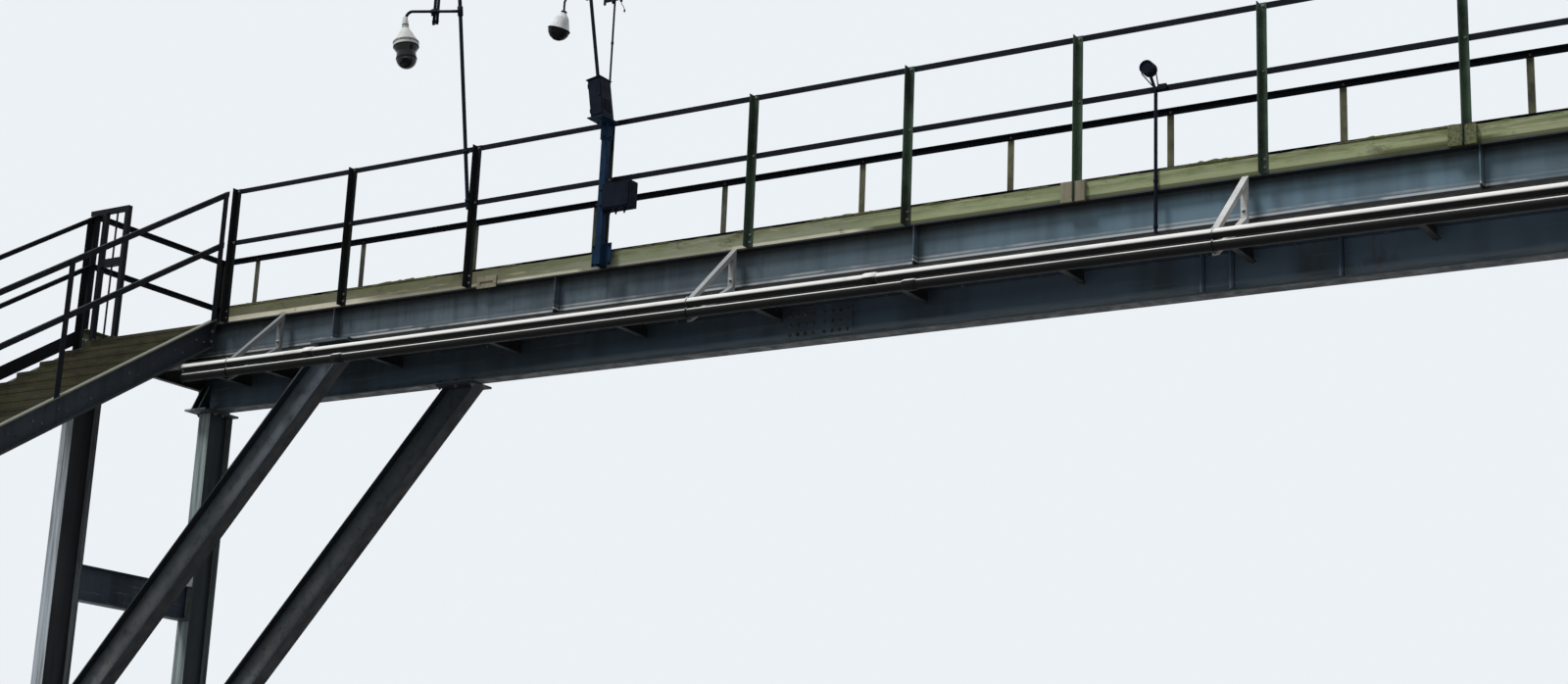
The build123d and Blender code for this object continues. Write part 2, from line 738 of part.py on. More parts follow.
def stair_railing(string, side, lowered):
    """Railing of both flights; side is the outward direction along X."""
    x = string + side * STRING_WIDTH
    leg_drop = RAIL_LEG / cos(PITCH)
    thick_drop = RAIL_THICK / cos(PITCH)
    inner_x = x - side * POST_THICK
    with BuildPart() as railing:
        for rise in (RAIL_RISE, MID_RISE):
            path = [(y, z + rise) for y, z in RAIL_PATH]
            extrude(side_face(inner_x, strip(path, 0, thick_drop)), amount=-side * RAIL_LEG)
            extrude(side_face(inner_x, strip(path, 0, leg_drop)), amount=-side * RAIL_THICK)
        for y in STAIR_POSTS:
            high = y + POST_LEG / 2
            for low, reach in ((y - POST_LEG / 2, POST_THICK), (high - POST_THICK, POST_LEG)):
                leg = [(low, string_line(low, lowered)), (high, string_line(high, lowered)),
                       (high, rail_line(high) + RAIL_RISE), (low, rail_line(low) + RAIL_RISE)]
                extrude(side_face(x, leg), amount=-side * reach)
    return railing


save_pair(stair_railing(*STRINGS[0]), "inner_stair_railing")

with BuildPart() as outer_stair_railing:
    add(stair_railing(*STRINGS[1]).part)
    toe_x = out_x(OUTER_STRING + STRING_WIDTH)
    extrude(side_face(toe_x, strip(RAIL_PATH, -TOE_RISE, TOE_DROP)), amount=-TOE_THICK)
save_pair(outer_stair_railing, "outer_stair_railing")

# Barrier frame on the landing's edge, over part of the stair head

with BuildPart() as barrier_frame:
    barrier_y = STAIR_Y + BARRIER_FOOT / 2
    foot_top = WALK_LEVEL + BARRIER_FOOT_THICK
    for distance in (BARRIER_OUTER, BARRIER_INNER):
        foot_x = out_x(distance) + (BARRIER_TUBE / 2 if distance == BARRIER_OUTER else 0)
        with Locations((foot_x, barrier_y, WALK_LEVEL + BARRIER_FOOT_THICK / 2)):
            Box(BARRIER_FOOT, BARRIER_FOOT, BARRIER_FOOT_THICK)
        height = DECK_LEVEL + BARRIER_HEIGHT - foot_top
        with Locations((out_x(distance), barrier_y, foot_top + height / 2)):
            Box(BARRIER_TUBE, BARRIER_TUBE, height)
    bar_start = out_x(BARRIER_OUTER + BARRIER_REACH)
    bar_length = out_x(BARRIER_INNER) + BARRIER_TUBE / 2 - bar_start
    with Locations((bar_start + bar_length / 2, barrier_y,
                    DECK_LEVEL + BARRIER_HEIGHT - BARRIER_TUBE / 2)):
        Box(bar_length, BARRIER_TUBE, BARRIER_TUBE)
    mid_bar = across(out_x(BARRIER_OUTER), barrier_y - BARRIER_TUBE / 2,
                     DECK_LEVEL + BARRIER_MID)
    extrude(channel_section(mid_bar, BARRIER_MID_DEPTH, BARRIER_TUBE, RAIL_THICK, RAIL_THICK),
            amount=BARRIER_OUTER - BARRIER_INNER)
    with BuildSketch(level(out_x(BARRIER_BAR), barrier_y, WALK_LEVEL)):
        Circle(BARRIER_BAR_RADIUS)
    extrude(amount=DECK_LEVEL + BARRIER_HEIGHT - BARRIER_TUBE - WALK_LEVEL)
save_pair(barrier_frame, "barrier_frame")

# Service pipes along the near side, on triangular brackets

PIPE_Y = NEAR_Y - PIPE_REACH
PIPE_LEVELS = (DECK_LEVEL - PIPE_DROP, DECK_LEVEL - PIPE_DROP - PIPE_PITCH)
PIPE_HALF = SPAN_END - PIPE_END

with BuildPart() as service_pipes:
    for z in PIPE_LEVELS:
        with BuildSketch(across(-PIPE_HALF, PIPE_Y, z)):
            Circle(PIPE_RADIUS)
            Circle(PIPE_RADIUS - PIPE_WALL, mode=Mode.SUBTRACT)
        extrude(amount=2 * PIPE_HALF)
        for x in (-PIPE_HALF - PIPE_FLANGE, PIPE_HALF):
            with BuildSketch(across(x, PIPE_Y, z)):
                Circle(PIPE_RADIUS + PIPE_WALL)
            extrude(amount=PIPE_FLANGE)
save(service_pipes, "service_pipes")

BRACKET_FACE_Y = PIPE_Y + PIPE_RADIUS + SEAT_GAP
BRACKET_OUTLINE = [(STAIR_Y, DECK_LEVEL), (STAIR_Y, GIRDER_BOTTOM),
                   (BRACKET_FACE_Y, PIPE_LEVELS[1] - BRACKET_END),
                   (BRACKET_FACE_Y, PIPE_LEVELS[0] + BRACKET_END)]

with BuildPart() as pipe_brackets:
    for x in both_ends(BRACKET_BAYS):
        with BuildSketch(across(x - BRACKET_WIDTH / 2, 0, 0)) as frame_face:
            with BuildLine():
                Polyline(*BRACKET_OUTLINE, close=True)
            make_face()
            offset(amount=-BRACKET_LEG, kind=Kind.INTERSECTION, mode=Mode.SUBTRACT)
        extrude(amount=BRACKET_WIDTH)
save(pipe_brackets, "pipe_brackets")

# Camera mast with its arm, leaning a little towards the left end

POST_TIP_Y = NEAR_KERB_Y - POST_LEG


def leaning(x, y, z, lean):
    """Plane square to an axis that leans towards the left end by so many degrees."""
    tilt = radians(lean)
    return Plane(origin=(x, y, z), x_dir=(cos(tilt), 0, sin(tilt)),
                 z_dir=(-sin(tilt), 0, cos(tilt)))


def turned_profile(top, points, dome_radius, dome_drop):
    """Half profile of a turned housing below its top plane, closed by a round dome."""
    with BuildSketch(Plane(origin=top.origin, x_dir=top.x_dir, z_dir=(0, -1, 0))) as section:
        with BuildLine():
            Polyline((0, 0), *points, (dome_radius, -dome_drop))
            CenterArc((0, -dome_drop), dome_radius, 0, -90)
            Line((0, -dome_drop - dome_radius), (0, 0))
        make_face()
    return section.sketch


CAMERA_MAST_Y = POST_TIP_Y - MAST_RADIUS - SEAT_GAP
CAMERA_MAST = leaning(bay_x(CAMERA_MAST_BAY), CAMERA_MAST_Y,
                      DECK_LEVEL + CAMERA_MAST_FOOT, MAST_LEAN)
ARM_START = CAMERA_MAST.offset(CAMERA_MAST_LENGTH - CAMERA_ARM_BELOW).origin
ARM_CORNER = ARM_START + Vector(-CAMERA_ARM_REACH, 0, CAMERA_ARM_RISE)
ARM_END = ARM_CORNER - CAMERA_MAST.z_dir * CAMERA_ARM_DROP
CAMERA_TOP = leaning(ARM_END.X, ARM_END.Y, ARM_END.Z, MAST_LEAN)

with BuildPart() as camera_mast:
    with BuildSketch(CAMERA_MAST):
        Circle(MAST_RADIUS)
    extrude(amount=CAMERA_MAST_LENGTH)
    with BuildLine(along(0, CAMERA_MAST_Y, 0)) as arm_path:
        FilletPolyline((ARM_START.X, ARM_START.Z), (ARM_CORNER.X, ARM_CORNER.Z),
                       (ARM_END.X, ARM_END.Z), radius=CAMERA_ARM_BEND)
    with BuildSketch(Plane(origin=ARM_START, z_dir=ARM_CORNER - ARM_START)):
        Circle(CAMERA_ARM_RADIUS)
    sweep(path=arm_path.wire())
save(camera_mast, "camera_mast")

CAMERA_PROFILE = [(CAMERA_NECK_RADIUS, 0), (CAMERA_NECK_RADIUS, -CAMERA_NECK),
                  (CAMERA_RADIUS, -CAMERA_CONE), (CAMERA_RADIUS, -CAMERA_SHELL),
                  (CAMERA_RING_RADIUS, -CAMERA_SHELL), (CAMERA_RING_RADIUS, -CAMERA_RING),
                  (CAMERA_WAIST_RADIUS, -CAMERA_WAIST)]

with BuildPart() as dome_camera:
    add(turned_profile(CAMERA_TOP, CAMERA_PROFILE, CAMERA_DOME_RADIUS, CAMERA_DOME))
    revolve(axis=Axis(CAMERA_TOP.origin, CAMERA_TOP.z_dir))
save(dome_camera, "dome_camera")

# Upright equipment mast, whose head plate carries a cabinet and a leaning pole

EQUIPMENT_X = bay_x(EQUIPMENT_MAST_BAY)
EQUIPMENT_Y = POST_TIP_Y - EQUIPMENT_FOOT_THICK - EQUIPMENT_MAST_SIZE / 2
MAST_TOP = DECK_LEVEL + EQUIPMENT_MAST_LENGTH
HEAD_BOTTOM = MAST_TOP - HEAD_THICK

with BuildPart() as equipment_mast:
    hollow = EQUIPMENT_MAST_SIZE - 2 * EQUIPMENT_MAST_WALL
    for size, height in ((EQUIPMENT_MAST_SIZE, HEAD_BOTTOM - DECK_LEVEL),
                         (COLLAR_SIZE, COLLAR_HEIGHT)):
        with BuildSketch(level(EQUIPMENT_X, EQUIPMENT_Y, HEAD_BOTTOM - height)):
            Rectangle(size, size)
            Rectangle(hollow, hollow, mode=Mode.SUBTRACT)
        extrude(amount=height)
    with Locations((EQUIPMENT_X + HEAD_SHIFT, EQUIPMENT_Y + (COLLAR_SIZE - HEAD_DEPTH) / 2,
                    HEAD_BOTTOM + HEAD_THICK / 2)):
        Box(HEAD_LENGTH, HEAD_DEPTH, HEAD_THICK)
    with Locations((EQUIPMENT_X, POST_TIP_Y - EQUIPMENT_FOOT_THICK / 2,
                    DECK_LEVEL + EQUIPMENT_FOOT / 2)):
        Box(EQUIPMENT_FOOT, EQUIPMENT_FOOT_THICK, EQUIPMENT_FOOT)
save(equipment_mast, "equipment_mast")

with BuildPart() as equipment_cabinet:
    cabinet_y = EQUIPMENT_Y - POLE_RADIUS - SEAT_GAP - CABINET_DEPTH / 2
    foot = leaning(EQUIPMENT_X + CABINET_SHIFT, cabinet_y, MAST_TOP, POLE_LEAN)
    with BuildSketch(foot.offset(-LEAN_BLANK)):
        RectangleRounded(CABINET_LENGTH, CABINET_DEPTH, CABINET_CORNER)
    extrude(amount=LEAN_BLANK + CABINET_HEIGHT)
    split(bisect_by=Plane.XY.offset(MAST_TOP), keep=Keep.TOP)
save(equipment_cabinet, "equipment_cabinet")

POLE = leaning(EQUIPMENT_X - POLE_SHIFT, EQUIPMENT_Y, MAST_TOP, POLE_LEAN)

with BuildPart() as light_pole:
    with BuildSketch(POLE.offset(-LEAN_BLANK)):
        Circle(POLE_RADIUS)
    extrude(amount=LEAN_BLANK + POLE_LENGTH)
    split(bisect_by=Plane.XY.offset(MAST_TOP), keep=Keep.TOP)
    with BuildSketch(level(EQUIPMENT_X, EQUIPMENT_Y, MAST_TOP)):
        Circle(ROD_RADIUS)
    extrude(amount=POLE_LENGTH)
save(light_pole, "light_pole")

CLAMP_X = -POLE_RADIUS - SEAT_GAP - FLOOD_CLAMP / 2
LAMP_ARM = POLE.offset(FLOOD_HEIGHT).from_local_coords((CLAMP_X, 0, 0))
LAMP_X = LAMP_ARM.X - FLOOD_ARM_REACH
LAMP_CORNER_Z = LAMP_ARM.Z + FLOOD_ARM_RISE
LAMP_TOP = leaning(LAMP_X, EQUIPMENT_Y, LAMP_CORNER_Z - FLOOD_ARM_DROP, -FLOOD_TILT)
LAMP_PROFILE = [(FLOOD_NECK_RADIUS, 0), (FLOOD_SHOULDER_RADIUS, -FLOOD_SHOULDER),
                (FLOOD_RADIUS, -FLOOD_SHELL)]

with BuildPart() as floodlight:
    with BuildSketch(POLE.offset(FLOOD_HEIGHT - FLOOD_CLAMP / 2)):
        with Locations((CLAMP_X, 0)):
            Rectangle(FLOOD_CLAMP, FLOOD_CLAMP)
    extrude(amount=FLOOD_CLAMP)
    with BuildLine(along(0, EQUIPMENT_Y, 0)) as lamp_path:
        FilletPolyline((LAMP_ARM.X, LAMP_ARM.Z), (LAMP_X, LAMP_CORNER_Z),
                       (LAMP_X, LAMP_CORNER_Z - FLOOD_ARM_DROP), radius=FLOOD_ARM_BEND)
    with BuildSketch(Plane(origin=LAMP_ARM, z_dir=(-FLOOD_ARM_REACH, 0, FLOOD_ARM_RISE))):
        Circle(FLOOD_ARM_RADIUS)
    sweep(path=lamp_path.wire())
    add(turned_profile(LAMP_TOP, LAMP_PROFILE, FLOOD_GRILLE_RADIUS, FLOOD_SHELL))
    revolve(axis=Axis(LAMP_TOP.origin, LAMP_TOP.z_dir))
save(floodlight, "floodlight")

with BuildPart() as junction_box:
    with BuildSketch(level(EQUIPMENT_X, EQUIPMENT_Y, DECK_LEVEL + JUNCTION_BOTTOM)):
        with Locations(((EQUIPMENT_MAST_SIZE + JUNCTION_LENGTH) / 2 + SEAT_GAP, 0)):
            Rectangle(JUNCTION_LENGTH, JUNCTION_DEPTH)
    extrude(amount=JUNCTION_TALL)
save(junction_box, "junction_box")

# Spotlight on a thin pole, clipped to the near girder and the kerb

with BuildPart() as spotlight_pole:
    spot_x = bay_x(SPOT_BAY)
    spot_y = STAIR_Y - SPOT_RADIUS - SEAT_GAP
    spot_top = DECK_LEVEL + SPOT_TOP
    with BuildSketch(level(spot_x, spot_y, GIRDER_BOTTOM)):
        Circle(SPOT_RADIUS)
    extrude(amount=spot_top - GIRDER_BOTTOM)
    neck = Vector(-SPOT_NECK_REACH, 0, SPOT_NECK_RISE)
    with BuildSketch(Plane(origin=(spot_x, spot_y, spot_top - SPOT_NECK_RADIUS), z_dir=neck)):
        Circle(SPOT_NECK_RADIUS)
    extrude(amount=neck.length)
    with BuildSketch(along(spot_x - SPOT_NECK_REACH, spot_y + SPOT_HEAD_LENGTH / 2,
                           spot_top + SPOT_NECK_RISE)):
        Circle(SPOT_HEAD_RADIUS)
    extrude(amount=SPOT_HEAD_LENGTH)
save(spotlight_pole, "spotlight_pole")
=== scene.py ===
from math import atan2, cos, pi, radians, sin

import bmesh
import bpy
from mathutils import Matrix, Vector, noise


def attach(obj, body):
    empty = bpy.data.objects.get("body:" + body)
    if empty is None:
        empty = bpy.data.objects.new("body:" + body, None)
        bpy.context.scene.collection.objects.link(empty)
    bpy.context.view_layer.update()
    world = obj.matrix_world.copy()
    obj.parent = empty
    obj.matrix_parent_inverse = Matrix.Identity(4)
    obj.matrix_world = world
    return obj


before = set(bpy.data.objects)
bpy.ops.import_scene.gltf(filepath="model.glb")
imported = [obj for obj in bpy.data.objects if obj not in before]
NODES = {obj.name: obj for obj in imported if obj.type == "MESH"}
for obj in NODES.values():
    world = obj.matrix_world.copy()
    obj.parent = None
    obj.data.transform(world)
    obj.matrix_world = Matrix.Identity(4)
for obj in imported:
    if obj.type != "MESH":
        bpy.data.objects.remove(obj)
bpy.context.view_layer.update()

# Dressing of the metal footbridge, in metres and in the frame of the CAD model:
# X along the span, Y across it with the stairs towards -Y, Z up from the ground.

BAY = 1.5
BAYS = 17
SPAN_END = 12.75
END_X = 14.75
DECK = 7.5
NEAR_Y, FAR_Y = 5.145, 6.795
NEAR_KERB, FAR_KERB = 5.06, 6.88
GIRDER_BOTTOM = DECK - 0.36
FLANGE = 0.013
FLANGE_TOP = GIRDER_BOTTOM + FLANGE
KERB_TOP = DECK + 0.139
WALK = 7.51
RISERS = 22
RISER = WALK / (2 * RISERS)
GOING = 0.26
SLOPE = RISER / GOING
REST_Z = WALK / 2
REST_BACK, REST_FRONT = -0.4, -1.6
FLIGHTS = ((NEAR_KERB, WALK), (REST_FRONT, REST_Z))
STRING_X = (12.96, 14.71)
STRING_RISE = 0.04
COLUMN_X = 14.63
COLUMN_HALF = 0.165
CAP_PLATE = 0.02
FOOT_PLATE = 0.025
PIERS = ((NEAR_Y, NEAR_Y - 0.08), (FAR_Y, FAR_Y + 0.08))
STRUT_FOOT, STRUT_HEAD = (COLUMN_X, DECK - 4.12), (SPAN_END - 1.52, GIRDER_BOTTOM)
TRESTLE_X = (13.045, 14.625)
BARRIER_X = (14.345, 14.635)
TRESTLE_Y = (REST_BACK + REST_FRONT) / 2
PIPE_Y = 4.42
PIPE_Z = (6.87, 6.78)
U_BOLT = 0.0435
MAST_Y = NEAR_KERB - 0.0783
MAST_LEAN, POLE_LEAN, LAMP_LEAN = 8, 10, -15
MAST_SLOPE = 0.1405
UP, DOWN, FRONT = (0, 0, 1), (0, 0, -1), (0, -1, 0)


def bay_x(k):
    return k * BAY - SPAN_END


def around(middle, reach):
    return middle - reach, middle + reach


def vec(*parts):
    return Vector(parts)


def raised(height):
    return Matrix.Translation((0, 0, height))


def facing(at, normal):
    """Place at a point, with local Z along the normal."""
    turn = Vector(UP).rotation_difference(Vector(normal)).to_matrix().to_4x4()
    return Matrix.Translation(at) @ turn


def leaning(at, degrees):
    """Place on an axis that leans towards the left end."""
    return Matrix.Translation(at) @ Matrix.Rotation(radians(-degrees), 4, "Y")


BRACKET_X = [sign * bay_x(k) for sign in (-1, 1) for k in (0.5, 3.9, 6.9)]
MAST = leaning((bay_x(1.99), MAST_Y, DECK + 0.72), MAST_LEAN)
ARM_START = MAST @ vec(0, 0, 1.995)
ARM_CORNER = ARM_START + vec(-0.685, 0, 0.123)
CAMERA_TOP = leaning(ARM_CORNER, MAST_LEAN) @ raised(-0.14)
EQUIPMENT_X, EQUIPMENT_Y, MAST_TOP = bay_x(3.01), NEAR_KERB - 0.1, DECK + 1.3
CABINET = leaning((EQUIPMENT_X + 0.02, EQUIPMENT_Y - 0.1013, MAST_TOP), POLE_LEAN)
POLE = leaning((EQUIPMENT_X - 0.055, EQUIPMENT_Y, MAST_TOP), POLE_LEAN)
LAMP_ARM = POLE @ vec(-0.0363, 0, 1.27)
LAMP_TOP = leaning(LAMP_ARM + vec(-0.255, 0, -0.1), LAMP_LEAN)
SPOT = vec(bay_x(6.43), NEAR_KERB - 0.0143, DECK + 0.79)
SPOT_HEAD = SPOT + vec(-0.057, 0, 0.18)


def new_object(name, data):
    obj = bpy.data.objects.new(name, data)
    bpy.context.collection.objects.link(obj)
    return obj


# Mesh building

def skin(rings, sides, closed=False):
    """Faces between rings of points, with the last joined to the first when closed."""
    count = rings * sides
    faces = []
    for start in range(0, count if closed else count - sides, sides):
        for i in range(sides):
            a, b = start + i, start + (i + 1) % sides
            faces.append((a, b, (b + sides) % count, (a + sides) % count))
    return faces


class Form:
    """Collects solids of one piece as vertices and faces."""

    def __init__(self):
        self.verts = []
        self.faces = []
        self.round = []

    def add(self, points, faces, place=None, smooth=False):
        start = len(self.verts)
        for point in points:
            point = Vector(point)
            self.verts.append(tuple(place @ point if place else point))
        for face in faces:
            self.faces.append([start + i for i in face])
            self.round.append(smooth)

    def box(self, centre, size, place=None):
        half = [s / 2 for s in size]
        points = [(centre[0] + i * half[0], centre[1] + j * half[1], centre[2] + k * half[2])
                  for i in (-1, 1) for j in (-1, 1) for k in (-1, 1)]
        faces = [(0, 1, 3, 2), (4, 6, 7, 5), (0, 4, 5, 1), (2, 3, 7, 6), (0, 2, 6, 4), (1, 5, 7, 3)]
        self.add(points, faces, place)

    def prism(self, outline, reach):
        """Outline of 3-D points, carried along the vector reach."""
        count = len(outline)
        reach = Vector(reach)
        points = [Vector(p) for p in outline] + [Vector(p) + reach for p in outline]
        faces = [list(range(count)), list(range(2 * count - 1, count - 1, -1))]
        faces += [(i, (i + 1) % count, count + (i + 1) % count, count + i) for i in range(count)]
        self.add(points, faces)

    def caps(self, count, sides):
        """Flat faces over the first and the last ring of the points just added."""
        start = len(self.verts) - count
        for ring in (range(sides - 1, -1, -1), range(count - sides, count)):
            self.faces.append([start + i for i in ring])
            self.round.append(False)

    def lathe(self, profile, place, sides, smooth=True):
        """Profile of (radius, height) turned about the local Z axis."""
        points = []
        for radius, height in profile:
            for i in range(sides):
                turn = 2 * pi * i / sides
                points.append((radius * cos(turn), radius * sin(turn), height))
        self.add(points, skin(len(profile), sides), place, smooth)
        self.caps(len(points), sides)

    def tube(self, path, radius, sides, closed=False):
        """Round bar along a path of points."""
        path = [Vector(p) for p in path]
        count = len(path)
        points = []
        normal = None
        for i, point in enumerate(path):
            before = path[i - 1] if i or closed else point
            after = path[(i + 1) % count] if i < count - 1 or closed else point
            along = (after - before).normalized()
            if normal is None:
                normal = along.orthogonal().normalized()
            normal = (normal - along * normal.dot(along)).normalized()
            side = along.cross(normal)
            for j in range(sides):
                turn = 2 * pi * j / sides
                points.append(point + radius * (cos(turn) * normal + sin(turn) * side))
        self.add(points, skin(count, sides, closed), None, True)
        if not closed:
            self.caps(len(points), sides)

    def collar(self, place, inner, outer, half, sides, lip=0.001):
        """Ring round the local Z axis, chamfered over the height lip at both ends."""
        self.lathe([(inner, -half), (outer, lip - half), (outer, half - lip), (inner, half)], place, sides)

    def weld(self, start, end, radius=0.006):
        self.tube([start, end], radius, 6)

    def bolt(self, at, normal, size, stub=0.4):
        """Washer, hexagon head and thread end of nominal size, standing on a face."""
        place = facing(at, normal)
        self.lathe([(1.1 * size, 0), (1.1 * size, 0.2 * size)], place, 12, False)
        self.lathe([(0.93 * size, 0.2 * size), (0.93 * size, 0.8 * size), (0.78 * size, 0.9 * size)],
                   place, 6, False)
        if stub:
            self.lathe([(0.48 * size, 0.85 * size), (0.48 * size, (0.9 + stub) * size),
                        (0.4 * size, (1 + stub) * size)], place, 8, False)

    def bolts(self, xs, ys, zs, normal, size, stub=0.4):
        """Bolt at every crossing of the given coordinates."""
        for x in xs:
            for y in ys:
                for z in zs:
                    self.bolt((x, y, z), normal, size, stub)

    def growth(self, start, end, width, height, key, step, cover=0.5):
        """Uneven low ridge of moss and dirt, lying on a face that looks up."""
        start, end = Vector(start), Vector(end)
        count = max(4, round((end - start).length / step))
        sides = 7
        side = (end - start).normalized().cross(Vector(UP))
        points = []
        for i in range(count + 1):
            at = start.lerp(end, i / count)
            clump = noise.noise(at * 1.9 + vec(key, 0, 0)) + 0.6 * noise.noise(at * 7.3)
            swell = max(0.04, cover + clump) * (0 < i < count)
            for j in range(sides):
                turn = pi * j / (sides - 1)
                rough = 1 + 0.7 * noise.noise(at * 31 + vec(0, key, 2.1 * j))
                points.append(at + side * (0.5 * width * cos(turn) * min(1, 0.5 + swell))
                              + vec(0, 0, height * sin(turn) * swell * rough))
        self.add(points, skin(count + 1, sides), None, True)

    def both_ends(self):
        """Adds the mirror image about X = 0."""
        start = len(self.verts)
        self.verts += [(-x, y, z) for x, y, z in self.verts]
        self.faces += [[start + i for i in reversed(face)] for face in self.faces]
        self.round += self.round
        return self

    def piece(self, name, material, slot, bevel=0):
        """Makes the object, which rides on the bridge."""
        mesh = bpy.data.meshes.new(name)
        mesh.from_pydata(self.verts, [], self.faces)
        mesh.polygons.foreach_set("use_smooth", self.round)
        shape = bmesh.new()
        shape.from_mesh(mesh)
        bmesh.ops.recalc_face_normals(shape, faces=shape.faces)
        shape.to_mesh(mesh)
        shape.free()
        mesh.materials.append(material)
        obj = new_object(name, mesh)
        if bevel:
            edge = obj.modifiers.new("edges", "BEVEL")
            edge.width = bevel
            edge.segments = 2
            edge.limit_method = "ANGLE"
            edge.angle_limit = radians(40)
        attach(obj, "root")


# Materials, where the numbers compared with g.x, g.y and g.z are places on the bridge

Y, Z = 1, 2


class Graph:
    """One procedural material, built from object coordinates in metres, with its colour so far."""

    def __init__(self, name, metallic=0.0, specular=0.5):
        self.mat = bpy.data.materials.new(name)
        self.mat.use_nodes = True
        self.tree = self.mat.node_tree
        self.tree.nodes.clear()
        out = self.node("OutputMaterial")
        self.shader = self.node("BsdfPrincipled", {"Metallic": metallic, "Specular IOR Level": specular})
        self.put(out.inputs[0], self.shader.outputs[0])
        self.place = self.node("TexCoord").outputs["Object"]
        self.x, self.y, self.z = self.node("SeparateXYZ", {0: self.place}).outputs

    def node(self, kind, values=None):
        """New node, with the given values or links at its inputs."""
        node = self.tree.nodes.new("ShaderNode" + kind)
        for key, value in (values or {}).items():
            self.put(node.inputs[key], value)
        return node

    def put(self, socket, value):
        """Links or sets an input, with colours made opaque."""
        if isinstance(value, bpy.types.NodeSocket):
            self.tree.links.new(value, socket)
        elif socket.type == "RGBA" and len(value) == 3:
            socket.default_value = (*value, 1)
        else:
            socket.default_value = value

    def math(self, kind, a, b=0.0, c=0.0):
        node = self.node("Math", {0: a, 1: b, 2: c})
        node.operation = kind
        return node.outputs[0]

    def times(self, a, b):
        return self.math("MULTIPLY", a, b)

    def plus(self, a, b):
        return self.math("ADD", a, b)

    def minus(self, a, b):
        return self.math("SUBTRACT", a, b)

    def span(self, value, low, high, to_low=0.0, to_high=1.0):
        return self.node("MapRange", {0: value, 1: low, 2: high, 3: to_low, 4: to_high}).outputs[0]

    def band(self, value, low, high, soft):
        """1 between two values, fading to 0 over the soft width outside them."""
        return self.times(self.span(value, low - soft, low), self.span(value, high + soft, high))

    def most(self, *values):
        top = values[0]
        for value in values[1:]:
            top = self.math("MAXIMUM", top, value)
        return top

    def noise(self, scale, detail, rough, stretch=(1, 1, 1), shift=0.0):
        move = self.node("Mapping", {"Vector": self.place, "Scale": stretch,
                                     "Location": (shift, shift * 0.7, shift * 1.3)})
        return self.node("TexNoise", {"Vector": move.outputs[0], "Scale": scale, "Detail": detail,
                                      "Roughness": rough}).outputs["Fac"]

    def mix(self, share, a, b):
        node = self.node("Mix")
        node.data_type = "RGBA"
        self.put(node.inputs["Factor"], share)
        self.put(node.inputs[6], a)
        self.put(node.inputs[7], b)
        return node.outputs[2]

    def coat(self, share, tone):
        """Lays a tone over the colour so far, where share is 1."""
        self.colour = self.mix(share, self.colour, tone)

    def facing(self, axis, sign, low=0.5, high=0.8):
        """1 where the surface looks along that axis and sign, 0 elsewhere."""
        normal = self.node("NewGeometry").outputs["True Normal"]
        split = self.node("SeparateXYZ", {0: normal})
        return self.span(self.times(split.outputs[axis], sign), low, high)

    def along(self, place):
        """Height along the local Z axis of a place."""
        axis = place.to_3x3() @ Vector(UP)
        part = self.math("MULTIPLY_ADD", self.x, axis.x, self.times(self.z, axis.z))
        return self.minus(part, axis.dot(place.translation) - axis.y * place.translation.y)

    def finish(self, rough, height, strength=0.35, distance=0.004):
        bump = self.node("Bump", {"Strength": strength, "Distance": distance, "Height": height})
        self.put(self.shader.inputs["Base Color"], self.colour)
        self.put(self.shader.inputs["Roughness"], rough)
        self.put(self.shader.inputs["Normal"], bump.outputs[0])
        return self.mat


RUST = (0.085, 0.034, 0.014)
# Near-black of soot runs and grain, also laid as painted shade on the far girder.
SOOT_AND_SHADE = (0.012, 0.013, 0.014)


def weathered(name, light, dark, rust, streak, rough=(0.45, 0.8), shift=0.0, gloss=0.25):
    """Old paint with blotches, runs, soot and rust. Gives the graph, roughness and height."""
    g = Graph(name, specular=gloss)
    blotch = g.noise(1.3, 5, 0.6, shift=shift)
    runs = g.noise(9, 4, 0.6, (1, 1, 0.07), shift + 3)
    grain = g.noise(90, 3, 0.6, shift=shift + 5)
    spots = g.noise(14, 6, 0.7, (1, 1, 0.5), shift + 9)
    g.colour = g.mix(g.span(blotch, 0.32, 0.68), dark, light)
    g.coat(g.times(g.span(runs, 0.48, 0.72), streak), SOOT_AND_SHADE)
    rusty = g.times(g.span(spots, 0.6, 0.68), g.span(blotch, 0.4, 0.6, 0.2, 1))
    rusty = g.times(rusty, rust)
    g.coat(rusty, RUST)
    g.coat(g.span(grain, 0.35, 0.75, 0, 0.22), SOOT_AND_SHADE)
    dull = g.plus(g.span(runs, 0.3, 0.7, *rough), g.times(rusty, 0.25))
    height = g.plus(g.times(grain, 0.35), g.times(spots, 0.65))
    return g, dull, height


def plain_weathered(*args, **settings):
    g, dull, height = weathered(*args, **settings)
    return g.finish(dull, height)


